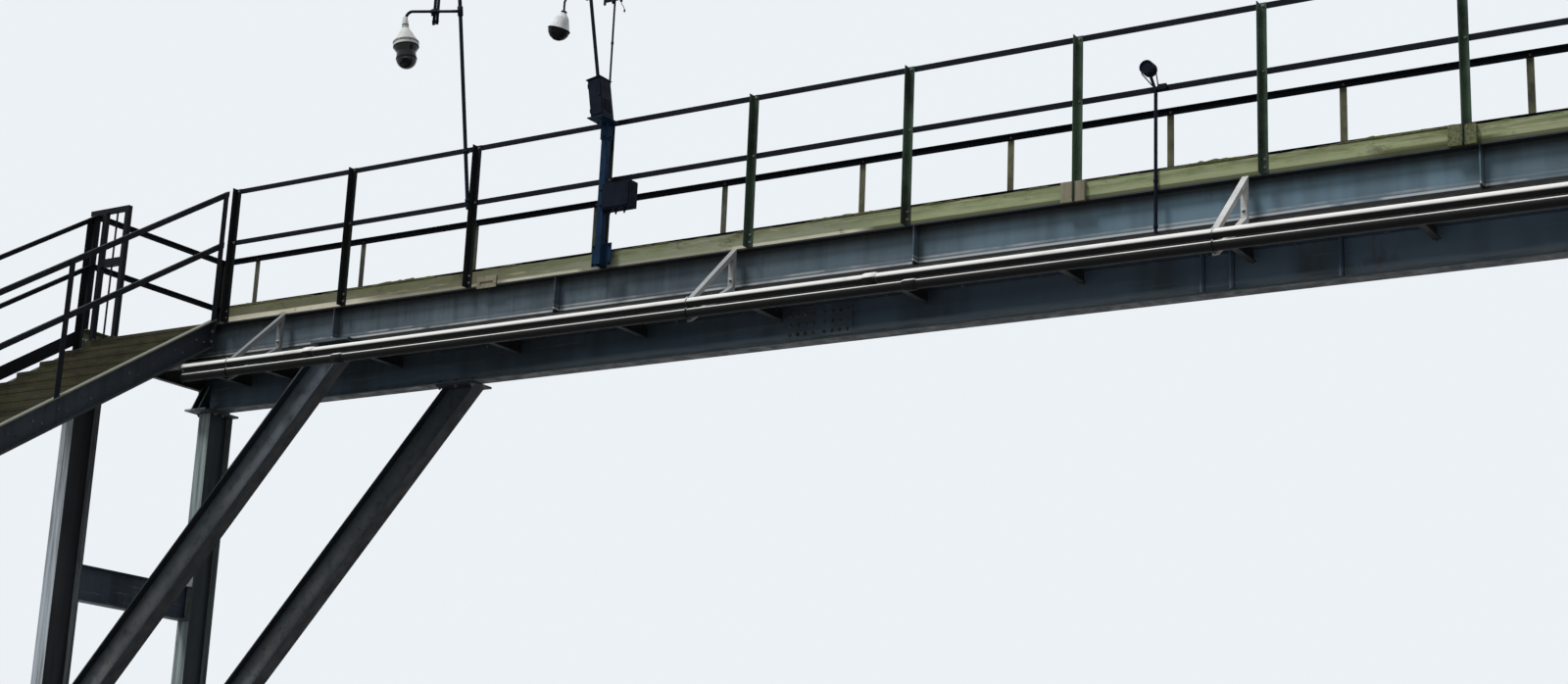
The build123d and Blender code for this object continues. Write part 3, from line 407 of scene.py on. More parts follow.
def web_paint():
    """Slate paint of the near girder, bluer to the right, with painted shade under the kerb, painted
    highlight lines above the bottom flange, and painted shade on that flange and on the undersides.
    """
    g, dull, height = weathered(
        "near_girder_paint", (0.1, 0.138, 0.165), (0.06, 0.084, 0.104), 0.5, 0.4)
    g.coat(g.span(g.x, -7, -2.5, 0, 0.9), (0.135, 0.222, 0.282))
    stain = g.times(g.span(g.x, -0.95, -0.75), g.span(g.x, 2.2, 1.2))
    g.coat(g.times(stain, 0.5), (0.06, 0.085, 0.1))
    g.coat(g.span(g.x, -12.3, -11.7, 0.5, 0), (0.05, 0.066, 0.078))
    bands = g.span(g.noise(1.9, 3, 0.6, (1, 1, 0.02), 33), 0.5, 0.62, 0, 0.45)
    g.coat(bands, (0.045, 0.06, 0.078))
    smear = g.noise(5, 5, 0.65, (1, 1, 0.22), 21)
    moss = g.times(g.span(smear, 0.54, 0.68), g.span(g.z, 7.34, 7.5))
    g.coat(g.times(moss, 0.6), (0.06, 0.066, 0.03))
    # Painted shadow of the kerb along the top of the web.
    g.coat(g.span(g.z, 7.4, 7.46, 0, 0.85), (0.012, 0.013, 0.013))
    streak_noise = g.noise(8, 5, 0.65, (0.16, 1, 3.2), 27)
    streak_noise = g.times(g.span(streak_noise, 0.5, 0.7), g.span(g.z, 7.34, 7.2))
    g.coat(g.times(streak_noise, 0.3), (0.24, 0.26, 0.27))
    # Broken pale lines low on the web: painted highlights along the bottom flange.
    wear_and_highlight = g.noise(1.1, 4, 0.7, (1, 1, 0), 37)
    level = g.minus(g.z, g.span(g.x, -2.7, -1.8, 0, 0.01))
    for middle, low, high, most in ((7.202, 0.38, 0.5, 0.9), (7.233, 0.5, 0.6, 0.5)):
        off = g.math("ABSOLUTE", g.minus(level, middle))
        line = g.times(g.span(off, 0.012, 0.006), g.span(wear_and_highlight, low, high, 0.1, most))
        g.coat(line, (0.52, 0.53, 0.53))
    # Painted shade: the bottom flange and the faces that look down go near black.
    g.coat(g.most(g.span(level, 7.194, 7.189), g.facing(Z, -1)), (0.008, 0.008, 0.008))
    return g.finish(dull, height)


def far_web_paint():
    """Blue-black paint of the far girder, paler inside downwards and to the right; the paleness low on the
    inside is painted light below the deck's shade, with a painted shadow over the bottom flange, a painted
    highlight on its edge, and painted shade on the undersides.
    """
    g, dull, height = weathered(
        "far_girder_paint", (0.06, 0.085, 0.115), (0.03, 0.042, 0.058), 0.7, 0.5, shift=40)
    # Painted light: the inner face paler downwards, out of the deck's shade.
    g.coat(g.span(g.z, 7.38, 7.19, 0, 0.8), (0.22, 0.33, 0.48))
    g.coat(g.span(g.x, -9, 3, 0.1, 0.8), (0.3, 0.43, 0.62))
    panel = g.noise(0.9, 3, 0.7, (1, 1, 0.2), 63)
    g.coat(g.span(panel, 0.5, 0.62, 0, 0.6), (0.05, 0.065, 0.085))
    rusty = g.span(g.noise(1.6, 5, 0.7, (1, 1, 0.4), 65), 0.6, 0.68, 0, 0.6)
    g.coat(rusty, (0.13, 0.1, 0.08))
    streak_noise = g.noise(9, 5, 0.65, (0.12, 1, 3), 67)
    g.coat(g.span(streak_noise, 0.58, 0.75, 0, 0.5), (0.3, 0.32, 0.34))
    # Painted light: the palest streaks low on the inner face.
    low = g.times(g.span(g.z, 7.26, 7.19), g.span(streak_noise, 0.36, 0.5, 0.3, 0.95))
    low = g.times(low, g.span(g.x, -11.5, -9.5, 0.1, 1))
    g.coat(low, (0.62, 0.74, 0.88))
    outside = g.mix(g.span(panel, 0.4, 0.6), (0.1, 0.135, 0.16), (0.06, 0.082, 0.1))
    outside = g.mix(rusty, outside, (0.1, 0.07, 0.05))
    g.coat(g.times(g.facing(Y, 1), 0.85), outside)
    # Painted shadow along the top of the bottom flange.
    g.coat(g.span(g.z, 7.166, 7.156, 0, 0.8), SOOT_AND_SHADE)
    # Painted highlight on the bottom flange's edge.
    rim = g.times(g.span(g.z, 7.1545, 7.1525), g.facing(Y, -1))
    g.coat(g.times(rim, 0.8), (0.2, 0.25, 0.27))
    # Painted shade on the faces that look down.
    g.coat(g.times(g.facing(Z, -1), 0.75), SOOT_AND_SHADE)
    return g.finish(dull, height)


def kerb_paint():
    """Khaki kerb with growth drawn out along it, bare cream paint along its lower edge."""
    g = Graph("kerb_paint", specular=0.2)
    blotch = g.noise(1.1, 5, 0.65, (0.7, 1, 2), 7)
    grass = g.noise(15, 6, 0.72, (0.3, 1, 1.6), 12)
    streak_noise = g.noise(20, 5, 0.65, (0.09, 1, 1.5), 15)
    grain = g.noise(130, 3, 0.6)
    share = g.span(blotch, 0.38, 0.6)
    left = g.mix(share, (0.2, 0.195, 0.14), (0.13, 0.125, 0.08))
    middle = g.mix(share, (0.31, 0.32, 0.23), (0.22, 0.25, 0.16))
    right = g.mix(share, (0.37, 0.39, 0.23), (0.28, 0.34, 0.19))
    g.colour = g.mix(g.span(g.x, -9.6, -8.2), left, middle)
    g.coat(g.span(g.x, -5.9, -5.2), right)
    top = g.span(g.z, 7.55, 7.6, 0.1, 0.7)
    g.coat(g.times(top, g.span(streak_noise, 0.36, 0.6)), (0.12, 0.13, 0.06))
    g.coat(g.span(streak_noise, 0.6, 0.72, 0, 0.75), (0.5, 0.47, 0.3))
    tufts = g.times(g.span(grass, 0.5, 0.64), g.span(g.z, 7.55, 7.63, 0.1, 0.8))
    g.coat(tufts, (0.1, 0.13, 0.03))
    damp = g.times(g.band(g.x, -1.35, -0.6, 0.15), g.span(g.z, 7.56, 7.54))
    g.coat(g.times(damp, 0.85), (0.07, 0.085, 0.03))
    end = g.span(g.x, -10.6, -11.1)
    edge = g.most(g.span(g.z, 7.53, 7.522), g.times(end, g.span(g.z, 7.552, 7.545)))
    bare = g.most(end, g.band(g.x, -9.3, -8.55, 0.15), g.band(g.x, -6.85, -5.75, 0.2),
                  g.span(g.x, -6, -7, 0, 0.4))
    bare = g.times(bare, g.span(streak_noise, 0.3, 0.55, 0.6, 1))
    g.coat(g.times(edge, 0.8), (0.055, 0.055, 0.028))
    g.coat(g.times(edge, bare), (0.68, 0.64, 0.5))
    dirt = g.span(g.noise(2.6, 6, 0.75, (1, 1, 2), 31), 0.58, 0.72, 0, 0.8)
    g.coat(dirt, (0.03, 0.027, 0.015))
    height = g.plus(g.times(grass, 0.7), g.times(grain, 0.3))
    return g.finish(g.span(grass, 0.3, 0.7, 0.95, 0.75), height, 0.5, 0.008)


def cleat_paint():
    """Pale blocks on the left, mossy ones on the right."""
    g, dull, height = weathered(
        "cleat_paint", (0.3, 0.27, 0.19), (0.19, 0.17, 0.115), 0.6, 0.5, shift=200)
    tufts = g.span(g.noise(60, 5, 0.7, shift=203), 0.42, 0.6)
    g.coat(g.span(g.x, -2.3, -2.2, 0, 0.95), g.mix(tufts, (0.05, 0.06, 0.02), (0.15, 0.16, 0.07)))
    return g.finish(dull, height)


def railing_paint(name, posts, right_posts, shift, face, out):
    """Black rails, with posts outside that turn greener to the right."""
    g, dull, height = weathered(
        name, (0.009, 0.012, 0.018), (0.005, 0.006, 0.009), 0.5, 0.2, (0.55, 0.8), shift, 0.05)
    inner = g.times(g.facing(Y, -out), g.band(g.y, face - 0.0005, face + 0.0005, 0.0005))
    post = g.times(g.most(inner, g.span(g.y, face + out * 0.001, face + out * 0.002)), 0.85)
    tone = g.mix(g.span(g.x, -9.5, -5), posts, right_posts)
    tone = g.mix(g.span(g.noise(4, 5, 0.7, (1, 1, 0.5), shift + 2), 0.42, 0.62, 0, 0.75), tone,
                 (0.018, 0.02, 0.017))
    g.coat(post, tone)
    return g.finish(dull, height)


def pier_paint(name, dark, mid, pale, shift):
    """Blue-black pier paint; the faces towards -Y are pale grey with dark runs, the pale grey being
    painted sunlight.
    """
    g, dull, height = weathered(name, mid, dark, 0.55, 0.45, shift=shift)
    streak = g.noise(26, 5, 0.65, (1, 1, 0.035), shift + 4)
    front = g.mix(g.span(streak, 0.42, 0.66, 0, 0.8), pale, (0.07, 0.074, 0.075))
    rusty = g.span(g.noise(4, 6, 0.72, (1, 1, 0.3), shift + 6), 0.6, 0.7, 0, 0.6)
    front = g.mix(rusty, front, (0.09, 0.06, 0.04))
    # Painted sunlight on the faces towards -Y.
    g.coat(g.facing(Y, -1), front)
    return g.finish(dull, height)


def strut_paint():
    """Black strut flanges, and a web with a warm grey bloom along its middle."""
    g, dull, height = weathered(
        "strut_paint", (0.014, 0.018, 0.023), (0.007, 0.009, 0.012), 0.5, 0.35, shift=77)
    run, rise = STRUT_FOOT[0] - STRUT_HEAD[0], STRUT_HEAD[1] - STRUT_FOOT[1]
    pitch = atan2(rise, run)
    out = g.minus(STRUT_FOOT[0], g.math("ABSOLUTE", g.x))
    up = g.minus(g.z, STRUT_FOOT[1])
    off = g.minus(g.times(up, cos(pitch)), g.times(out, sin(pitch)))
    streak_noise = g.noise(3, 5, 0.6, (1, 1, 1), 81)
    middle = g.span(g.math("ABSOLUTE", off), 0.12, 0.02)
    middle = g.times(middle, g.span(streak_noise, 0.3, 0.6, 0.45, 1))
    middle = g.times(middle, g.span(g.z, 6.9, 5, 0.12, 1))
    tone = g.mix(middle, (0.07, 0.095, 0.12), (0.3, 0.31, 0.315))
    fine = g.noise(30, 4, 0.6, (0.35, 1, 0.35), 83)
    tone = g.mix(g.span(fine, 0.52, 0.75, 0, 0.6), tone, SOOT_AND_SHADE)
    side = g.most(g.facing(Y, -1), g.facing(Y, 1))
    g.coat(g.times(side, 0.85), tone)
    return g.finish(dull, height)


def beam_paint():
    """Navy pier beams and trestles, with pale streaks drawn out across the bridge as a painted highlight.
    """
    g, dull, height = weathered(
        "pier_beam_paint", (0.03, 0.052, 0.08), (0.013, 0.022, 0.036), 0.4, 0.45, shift=99)
    streak_noise = g.noise(14, 5, 0.65, (1, 0.12, 2.4), 101)
    # Painted highlight: pale streaks along the beams.
    g.coat(g.span(streak_noise, 0.56, 0.72, 0, 0.7), (0.12, 0.16, 0.2))
    return g.finish(dull, height)


def string_paint():
    """Navy-black stair strings, dusty on top; the plate of the rest landing is worn brown."""
    g, dull, height = weathered(
        "string_paint", (0.036, 0.05, 0.068), (0.015, 0.02, 0.028), 0.5, 0.5, shift=110)
    dust = g.times(g.facing(Z, 1), g.span(g.noise(5, 6, 0.7, shift=113), 0.35, 0.6, 0.2, 0.8))
    g.coat(dust, (0.07, 0.066, 0.042))
    plate = g.times(g.facing(Z, 1, 0.9, 0.95), g.band(g.z, REST_Z - 0.02, REST_Z + 0.002, 0.001))
    patch = g.noise(2.5, 6, 0.7, shift=115)
    wear_and_highlight = g.mix(g.span(patch, 0.35, 0.6), (0.026, 0.024, 0.015), (0.06, 0.055, 0.034))
    g.coat(plate, wear_and_highlight)
    lens = g.times(tread_height(g, 0.034), plate)
    g.coat(g.times(lens, 0.6), (0.2, 0.19, 0.17))
    height = g.plus(height, lens)
    for top_y, top_z in FLIGHTS:
        line = g.math("MULTIPLY_ADD", g.y, SLOPE, top_z + STRING_RISE - SLOPE * top_y)
        below = g.minus(line, g.z)
        edge = g.times(g.span(below, 0.0185, 0.0145), g.span(below, -0.004, -0.002))
        g.coat(g.times(edge, 0.85), (0.16, 0.165, 0.125))
    return g.finish(dull, height)


def tread_height(g, pitch):
    """Raised lens pattern of chequer plate, one lens in each cell."""
    cell_x, cell_y = g.math("DIVIDE", g.x, pitch), g.math("DIVIDE", g.y, pitch)
    p = g.minus(g.math("FRACT", cell_x), 0.5)
    q = g.minus(g.math("FRACT", cell_y), 0.5)
    odd = g.math("FLOORED_MODULO", g.plus(g.math("FLOOR", cell_x), g.math("FLOOR", cell_y)), 2)
    turn = g.minus(1, g.times(odd, 2))
    q = g.times(q, turn)
    long = g.math("POWER", g.math("ABSOLUTE", g.plus(p, q)), 2)
    short = g.math("POWER", g.math("ABSOLUTE", g.minus(p, q)), 2)
    lens = g.minus(1, g.plus(g.times(long, 1.6), g.times(short, 34)))
    return g.most(lens, 0)


def tread_plate(name, light, dark, growth, pitch, shift):
    """Worn chequer plate with damp dirt and growth in its hollows."""
    g = Graph(name, specular=0.15)
    blotch = g.noise(2.2, 6, 0.65, shift=shift)
    grass = g.noise(13, 6, 0.7, shift=shift + 3)
    runs = g.noise(7, 5, 0.65, (0.3, 1, 1), shift + 8)
    lens = tread_height(g, pitch)
    g.colour = g.mix(g.span(blotch, 0.35, 0.65), dark, light)
    g.coat(g.span(runs, 0.5, 0.7, 0, 0.6), (0.03, 0.027, 0.019))
    g.coat(g.span(grass, 0.5, 0.66, 0, 0.8), growth)
    rusty = g.span(g.noise(9, 6, 0.72, shift=shift + 11), 0.6, 0.68, 0, 0.7)
    g.coat(rusty, (0.1, 0.048, 0.022))
    wear_and_highlight = g.times(g.times(lens, g.facing(Z, 1)), 0.6)
    g.coat(wear_and_highlight, (0.2, 0.19, 0.17))
    height = g.plus(g.times(lens, 0.7), g.times(grass, 0.3))
    rough = g.minus(g.span(blotch, 0.3, 0.7, 0.95, 0.75), g.times(wear_and_highlight, 0.4))
    return g.finish(rough, height, 0.6, 0.006)


def galvanised(name, shade):
    """Zinc coating with spangle, white bloom, dirt in patches, and painted shade on the undersides."""
    g = Graph(name, specular=0.08)
    flake = g.node("TexVoronoi", {"Vector": g.place, "Scale": 45})
    bloom = g.noise(5, 5, 0.65, (0.5, 1, 1), 17)
    grime = g.noise(2.2, 6, 0.7, (0.4, 1, 1), 23)
    g.colour = g.mix(flake.outputs["Distance"], (0.66, 0.66, 0.64), (0.5, 0.505, 0.5))
    if name == "pipe_zinc":
        # Pipes near white, so that their tops read as a painted highlight above the painted shade.
        g.coat(0.7, (0.97, 0.96, 0.93))
    g.coat(g.span(bloom, 0.45, 0.7, 0, 0.7), (0.84, 0.83, 0.8))
    g.coat(g.span(grime, 0.56, 0.72, 0, 0.5), (0.2, 0.185, 0.155))
    # Painted shade on the faces that look down.
    under = g.facing(Z, -1, *shade)
    if name == "pipe_zinc":
        # Painted shadow of the upper pipe over more of the lower pipe.
        lower = g.span(g.z, PIPE_Z[0] - 0.044, PIPE_Z[0] - 0.046)
        under = g.most(under, g.times(lower, g.facing(Z, -1, -0.72, -0.5)))
    else:
        # Brackets darker to the left: painted shade.
        g.coat(g.span(g.x, -9, -3, 0.85, 0.15), (0.13, 0.145, 0.16))
    g.coat(under, (0.008, 0.008, 0.008))
    height = g.plus(g.times(bloom, 0.5), g.noise(80, 3, 0.6))
    return g.finish(g.span(flake.outputs["Distance"], 0, 0.7, 0.42, 0.62), height, 0.2, 0.002)


def housing(name, light, dark, rough, shift):
    """Powder coat with dust on top, faint runs and a fine peel."""
    g = Graph(name, specular=0.04)
    blotch = g.noise(6, 5, 0.6, shift=shift)
    runs = g.noise(40, 4, 0.6, (1, 1, 0.08), shift + 2)
    peel = g.noise(260, 2, 0.5, shift=shift)
    g.colour = g.mix(g.span(blotch, 0.35, 0.7), light, dark)
    g.coat(g.span(runs, 0.55, 0.75, 0, 0.5), tuple(0.45 * c for c in dark))
    g.coat(g.times(g.facing(Z, 1), 0.35), (0.3, 0.29, 0.25))
    return g.finish(g.span(blotch, 0.3, 0.7, rough, rough + 0.2), peel, 0.15, 0.001)


def camera_shell():
    """White camera housing over a black band and a dark glossy dome."""
    g = Graph("camera_shell", specular=0.25)
    blotch = g.noise(9, 5, 0.6, shift=5)
    runs = g.noise(50, 4, 0.6, (1, 1, 0.1), 8)
    peel = g.noise(300, 2, 0.5)
    white = g.mix(g.span(blotch, 0.4, 0.7), (0.66, 0.67, 0.64), (0.5, 0.52, 0.5))
    white = g.mix(g.span(runs, 0.56, 0.75, 0, 0.6), white, (0.2, 0.21, 0.2))
    dome = g.span(g.along(CAMERA_TOP), -0.231, -0.233)
    black = g.mix(blotch, (0.006, 0.007, 0.009), (0.016, 0.018, 0.022))
    rough = g.span(dome, 0, 1, 0.5, g.span(blotch, 0.3, 0.7, 0.08, 0.2))
    g.colour = g.mix(dome, white, black)
    return g.finish(rough, peel, 0.1, 0.001)


def lamp_shell():
    """Pale lamp shade on a dark arm, over a dark grille."""
    g = Graph("lamp_shell", specular=0.08)
    blotch = g.noise(12, 5, 0.6, shift=4)
    runs = g.noise(60, 4, 0.6, (1, 1, 0.1), 6)
    pale = g.mix(g.span(blotch, 0.4, 0.7), (0.8, 0.82, 0.83), (0.6, 0.63, 0.65))
    pale = g.mix(g.span(runs, 0.55, 0.75, 0, 0.6), pale, (0.25, 0.25, 0.24))
    black = g.mix(blotch, (0.004, 0.005, 0.007), (0.012, 0.013, 0.015))
    level = g.along(LAMP_TOP)
    shade = g.times(g.span(level, -0.167, -0.164), g.span(level, 0.003, 0.001))
    g.colour = g.mix(shade, black, pale)
    return g.finish(g.span(blotch, 0.3, 0.7, 0.35, 0.6), g.noise(240, 2, 0.5), 0.15, 0.001)


def growth_cover(name, green, brown, shift):
    """Moss and wet dirt, coarse and matt."""
    g = Graph(name, specular=0.2)
    patch = g.noise(2.3, 6, 0.7, shift=shift)
    tuft = g.noise(38, 6, 0.75, shift=shift + 4)
    g.colour = g.mix(g.span(patch, 0.4, 0.6), green, brown)
    g.coat(g.span(tuft, 0.45, 0.75, 0, 0.8), (0.02, 0.019, 0.011))
    g.coat(g.span(g.noise(70, 3, 0.6), 0.62, 0.75, 0, 0.5), (0.19, 0.2, 0.09))
    return g.finish(g.span(tuft, 0.3, 0.7, 0.85, 1), tuft, 0.9, 0.012)


def bolt_steel():
    """Zinc bolts gone dull and rusty in patches."""
    g = Graph("bolt_steel", 0.5)
    patch = g.noise(5, 5, 0.7, shift=2)
    fine = g.noise(220, 3, 0.6)
    g.colour = g.mix(g.span(patch, 0.42, 0.6), (0.16, 0.165, 0.165), (0.075, 0.05, 0.035))
    g.coat(g.span(fine, 0.4, 0.8, 0, 0.5), (0.03, 0.026, 0.022))
    return g.finish(g.span(patch, 0.3, 0.7, 0.45, 0.8), fine, 0.3, 0.001)


NEAR_WEB = web_paint()
FAR_WEB = far_web_paint()
KERB = kerb_paint()
NEAR_RAIL = railing_paint("near_railing_paint", (0.008, 0.01, 0.012), (0.085, 0.135, 0.09), 50,
                          NEAR_KERB, -1)
# The far posts' beige tone is partly their paint and partly painted sunlight.
FAR_RAIL = railing_paint("far_railing_paint", (0.13, 0.13, 0.09), (0.17, 0.165, 0.1), 60,
                         FAR_KERB, 1)
STAIR_RAIL = plain_weathered("stair_railing_paint", (0.012, 0.015, 0.02), (0.006, 0.008, 0.01),
                             0.5, 0.2, shift=70, gloss=0.07)
NEAR_PIER = pier_paint("near_pier_paint", (0.009, 0.011, 0.014), (0.02, 0.024, 0.03),
                       (0.52, 0.58, 0.64), 90)
FAR_PIER = pier_paint("far_pier_paint", (0.009, 0.014, 0.016), (0.022, 0.032, 0.036),
                      (0.32, 0.39, 0.4), 95)
BEAM = beam_paint()
STRUT = strut_paint()
STRING = string_paint()
CROSS = plain_weathered("cross_beam_paint", (0.035, 0.038, 0.04), (0.016, 0.018, 0.02),
                        0.9, 0.5, shift=120)
DECK_PLATE = tread_plate("deck_steel", (0.12, 0.115, 0.095), (0.07, 0.066, 0.052),
                         (0.075, 0.08, 0.03), 0.034, 130)
STEP_PLATE = tread_plate("step_steel", (0.055, 0.05, 0.028), (0.024, 0.023, 0.013),
                         (0.034, 0.042, 0.011), 0.028, 140)
ZINC = galvanised("galvanised", (0.5, 0.8))
PIPE_ZINC = galvanised("pipe_zinc", (-0.12, 0.15))
DARK_FITTING = housing("fitting_paint", (0.009, 0.013, 0.024), (0.005, 0.007, 0.013), 0.45, 150)
GREY_FITTING = housing("fitting_grey", (0.012, 0.036, 0.082), (0.008, 0.019, 0.042), 0.45, 155)
LAMP = lamp_shell()
CAMERA = camera_shell()
BOLTS = bolt_steel()
WELD = plain_weathered("weld_paint", (0.04, 0.043, 0.047), (0.018, 0.02, 0.023), 0.9, 0.3, shift=170)
MOSS = growth_cover("moss", (0.085, 0.1, 0.03), (0.075, 0.062, 0.035), 180)
DIRT = growth_cover("dirt", (0.05, 0.05, 0.02), (0.04, 0.033, 0.022), 190)
CLEAT = cleat_paint()
RUBBER = housing("seals", (0.02, 0.02, 0.021), (0.012, 0.012, 0.013), 0.55, 210)


def both(*names):
    """Names of the nodes at the left and at the right end."""
    return [f"{name}_{end}" for name in names for end in ("left", "right")]


FINISHES = [
    (NEAR_WEB, ["near_girder"]),
    (FAR_WEB, ["far_girder", "splice_plates"]),
    (CROSS, ["cross_beams"] + both("landing_beams")),
    (DECK_PLATE, ["deck_plate"] + both("landing_deck")),
    (KERB, ["near_kerb", "far_kerb"] + both("landing_kerb")),
    (NEAR_RAIL, ["near_railing"]),
    (FAR_RAIL, ["far_railing"]),
    (STAIR_RAIL, both("landing_end_railing", "inner_stair_railing", "outer_stair_railing",
                      "barrier_frame")),
    (NEAR_PIER, both("near_column")),
    (FAR_PIER, both("far_column")),
    (BEAM, both("pier_beams", "trestle")),
    (STRUT, both("struts")),
    (STRING, both("upper_strings", "lower_strings", "rest_landing")),
    (STEP_PLATE, both("upper_steps", "lower_steps")),
    (PIPE_ZINC, ["service_pipes"]),
    (ZINC, ["pipe_brackets"]),
    (DARK_FITTING, ["camera_mast", "equipment_cabinet", "light_pole", "spotlight_pole",
                    "junction_box"]),
    (GREY_FITTING, ["equipment_mast"]),
    (LAMP, ["floodlight"]),
    (CAMERA, ["dome_camera"]),
]
for material, names in FINISHES:
    for name in names:
        for holder in NODES[name].material_slots:
            holder.material = material


# Bolts of the railings, kerbs and girders

POST_X = [bay_x(k) for k in range(BAYS + 1)]
FAR_POST_X = [0.03 - END_X, bay_x(-1)] + POST_X + [bay_x(BAYS + 1), END_X - 0.03]
RAILINGS = ((POST_X, NEAR_KERB, -1), (FAR_POST_X, FAR_KERB, 1))
HOLE_Z = (DECK + 0.04, DECK + 0.105, DECK + 0.8, DECK + 1.325)

form = Form()
for side, reach, zs, size, stub in ((1, 0.006, HOLE_Z, 0.012, 0), (-1, 0.005, HOLE_Z[2:], 0.01, 0.4)):
    for posts, kerb, out in RAILINGS:
        form.bolts([x + 0.004 for x in posts], [kerb + out * side * reach], zs,
                   (0, out * side, 0), size, stub)
for end in (-1, 1):
    form.bolts([end * (END_X + 0.006)], [FAR_KERB - 0.034, NEAR_KERB + 0.026], HOLE_Z,
               (end, 0, 0), 0.012, 0)
form.piece("railing_bolts", BOLTS, "galvanised")

form = Form()
seam = [BAY / 4 + BAY / 2 * k for k in range(-BAYS, BAYS)]
for y in (NEAR_Y + 0.055, FAR_Y - 0.055):
    form.bolts(seam, [y], [DECK - FLANGE], DOWN, 0.014, 0.8)
splice_x = [side * (abs(bay_x(3.77)) + step) for side in (-1, 1)
            for step in (-0.3, -0.22, -0.14, -0.06, 0.06, 0.14, 0.22, 0.3)]
for side in (-1, 1):
    form.bolts(splice_x, [FAR_Y + side * 0.014], (DECK - 0.27, DECK - 0.18, DECK - 0.09),
               (0, side, 0), 0.016)
form.piece("girder_bolts", BOLTS, "galvanised")


# Bolts and welds of the piers

form = Form()
head_x = [bay_x(1) + off for off in (-0.205, 0, 0.205)]
for girder, pier in PIERS:
    inward = 1 if girder > pier else -1
    for xs, ys in ((around(-COLUMN_X, 0.118), around(girder, 0.055)), (head_x, [pier + inward * 0.12])):
        form.bolts(xs, ys, [GIRDER_BOTTOM - CAP_PLATE], DOWN, 0.02)
        form.bolts(xs, ys, [FLANGE_TOP], UP, 0.02)
    form.bolts([0.1 - COLUMN_X], around(pier, 0.125),
               [STRUT_FOOT[1] + rise for rise in (-0.11, 0.04, 0.19, 0.33)], (1, 0, 0), 0.02)
    form.bolts(around(-COLUMN_X, 0.175), around(pier, 0.175), [FOOT_PLATE], UP, 0.024, 1.6)
for x in TRESTLE_X:
    form.bolts(around(-x, 0.09), around(TRESTLE_Y, 0.09), [0.015], UP, 0.016, 1.4)
form.both_ends().piece("pier_bolts", BOLTS, "galvanised")

form = Form()
for girder, pier in PIERS:
    inward = 1 if girder > pier else -1
    face = pier + inward * COLUMN_HALF
    for z in (DECK - 2.415, DECK - 5.6):
        for side in (-1, 1):
            for edge in (-1, 1):
                form.weld((-COLUMN_X + edge * 0.075, face, z + side * 0.175),
                          (-COLUMN_X, face, z + side * 0.175))
                web_x = -COLUMN_X + edge * 0.0035
                form.weld((web_x, face, z - 0.164), (web_x, face, z + 0.164))
    for edge in (-1, 1):
        rim = pier + edge * COLUMN_HALF
        for tip in (-0.08, 0.08):
            for z, radius in ((GIRDER_BOTTOM - CAP_PLATE, 0.005), (FOOT_PLATE, 0.007)):
                form.weld((-COLUMN_X + tip, rim, z), (-COLUMN_X - tip, rim, z), radius)
        for x in around(-COLUMN_X, 0.05):
            for side in (-1, 1):
                form.weld(*[(x + side * 0.008, girder + inward * reach, GIRDER_BOTTOM + 0.002)
                            for reach in (0.088, 0.23)], 0.004)
        gusset = ((COLUMN_HALF, FOOT_PLATE), (0.215, FOOT_PLATE), (0.175, 0.2), (COLUMN_HALF, 0.2))
        form.prism([(-COLUMN_X + edge * 0.012, pier + edge * reach, z) for reach, z in gusset],
                   (-edge * 0.024, 0, 0))
form.both_ends().piece("pier_welds", WELD, "pier_paint")

form = Form()
panels = [(NEAR_Y, bay) for bay in (0.93, 2.65, 5.04, 8.05)]
panels += [(FAR_Y, bay) for bay in (6.22, 6.39, 7, 8.2)]
for y, bay in panels:
    for side in (-1, 1):
        x = bay_x(bay) + side * 0.005
        form.weld((x, y - 0.004, FLANGE_TOP), (x, y - 0.004, DECK - FLANGE), 0.005)
        form.weld((x, y - 0.004, FLANGE_TOP), (x, y - 0.083, FLANGE_TOP), 0.005)
form.both_ends().piece("girder_welds", WELD, "girder_paint")


# Cleats on the near kerb: two blocks at post feet and a slotted plate

form = Form()
front = NEAR_KERB - 0.006
for post, rise, height in ((6, 0.064, 0.164), (8, 0.065, 0.15)):
    for off, width in ((-0.085, 0.1), (0.024, 0.088)):
        form.box((bay_x(post) + off, front - 0.016, DECK + rise), (width, 0.032, height))
for off, rise, width, height in ((0, 0.055, 0.22, 0.05), (0, -0.016, 0.22, 0.028),
                                 (-0.092, 0.014, 0.036, 0.032), (0.092, 0.014, 0.036, 0.032)):
    form.box((bay_x(2.14) + off, front, DECK + rise), (width, 0.012, height))
form.piece("kerb_cleats", CLEAT, "kerb_paint", 0.002)


# Couplings, clips and U-bolts of the service pipes

form = Form()
for n, z in enumerate(PIPE_Z):
    for k in range(-2, 3):
        form.lathe([(0.04, -0.062), (0.044, -0.06), (0.044, -0.046), (0.047, -0.044),
                    (0.047, 0.044), (0.044, 0.046), (0.044, 0.06), (0.04, 0.062)],
                   facing((5.8 * k + 0.6 + 0.35 * n, PIPE_Y, z), (1, 0, 0)), 20)
    for x in BRACKET_X:
        arc = [(x, PIPE_Y + 0.09, z + U_BOLT), (x, PIPE_Y + 0.02, z + U_BOLT)]
        arc += [(x, PIPE_Y - U_BOLT * sin(pi * t / 10), z + U_BOLT * cos(pi * t / 10)) for t in range(11)]
        arc += [(x, PIPE_Y + 0.02, z - U_BOLT), (x, PIPE_Y + 0.09, z - U_BOLT)]
        form.tube(arc, 0.0045, 8)
        for rise in (U_BOLT, -U_BOLT):
            form.bolt((x, PIPE_Y + 0.0785, z + rise), (0, 1, 0), 0.009, 0)
form.bolts(BRACKET_X, [NEAR_KERB - 0.04], (DECK - 0.06, DECK - 0.28), FRONT, 0.014)
form.piece("pipe_fittings", PIPE_ZINC, "galvanised")


# Stairs: ribbed nosings, tread bolts, bolts of the end plates and barrier feet

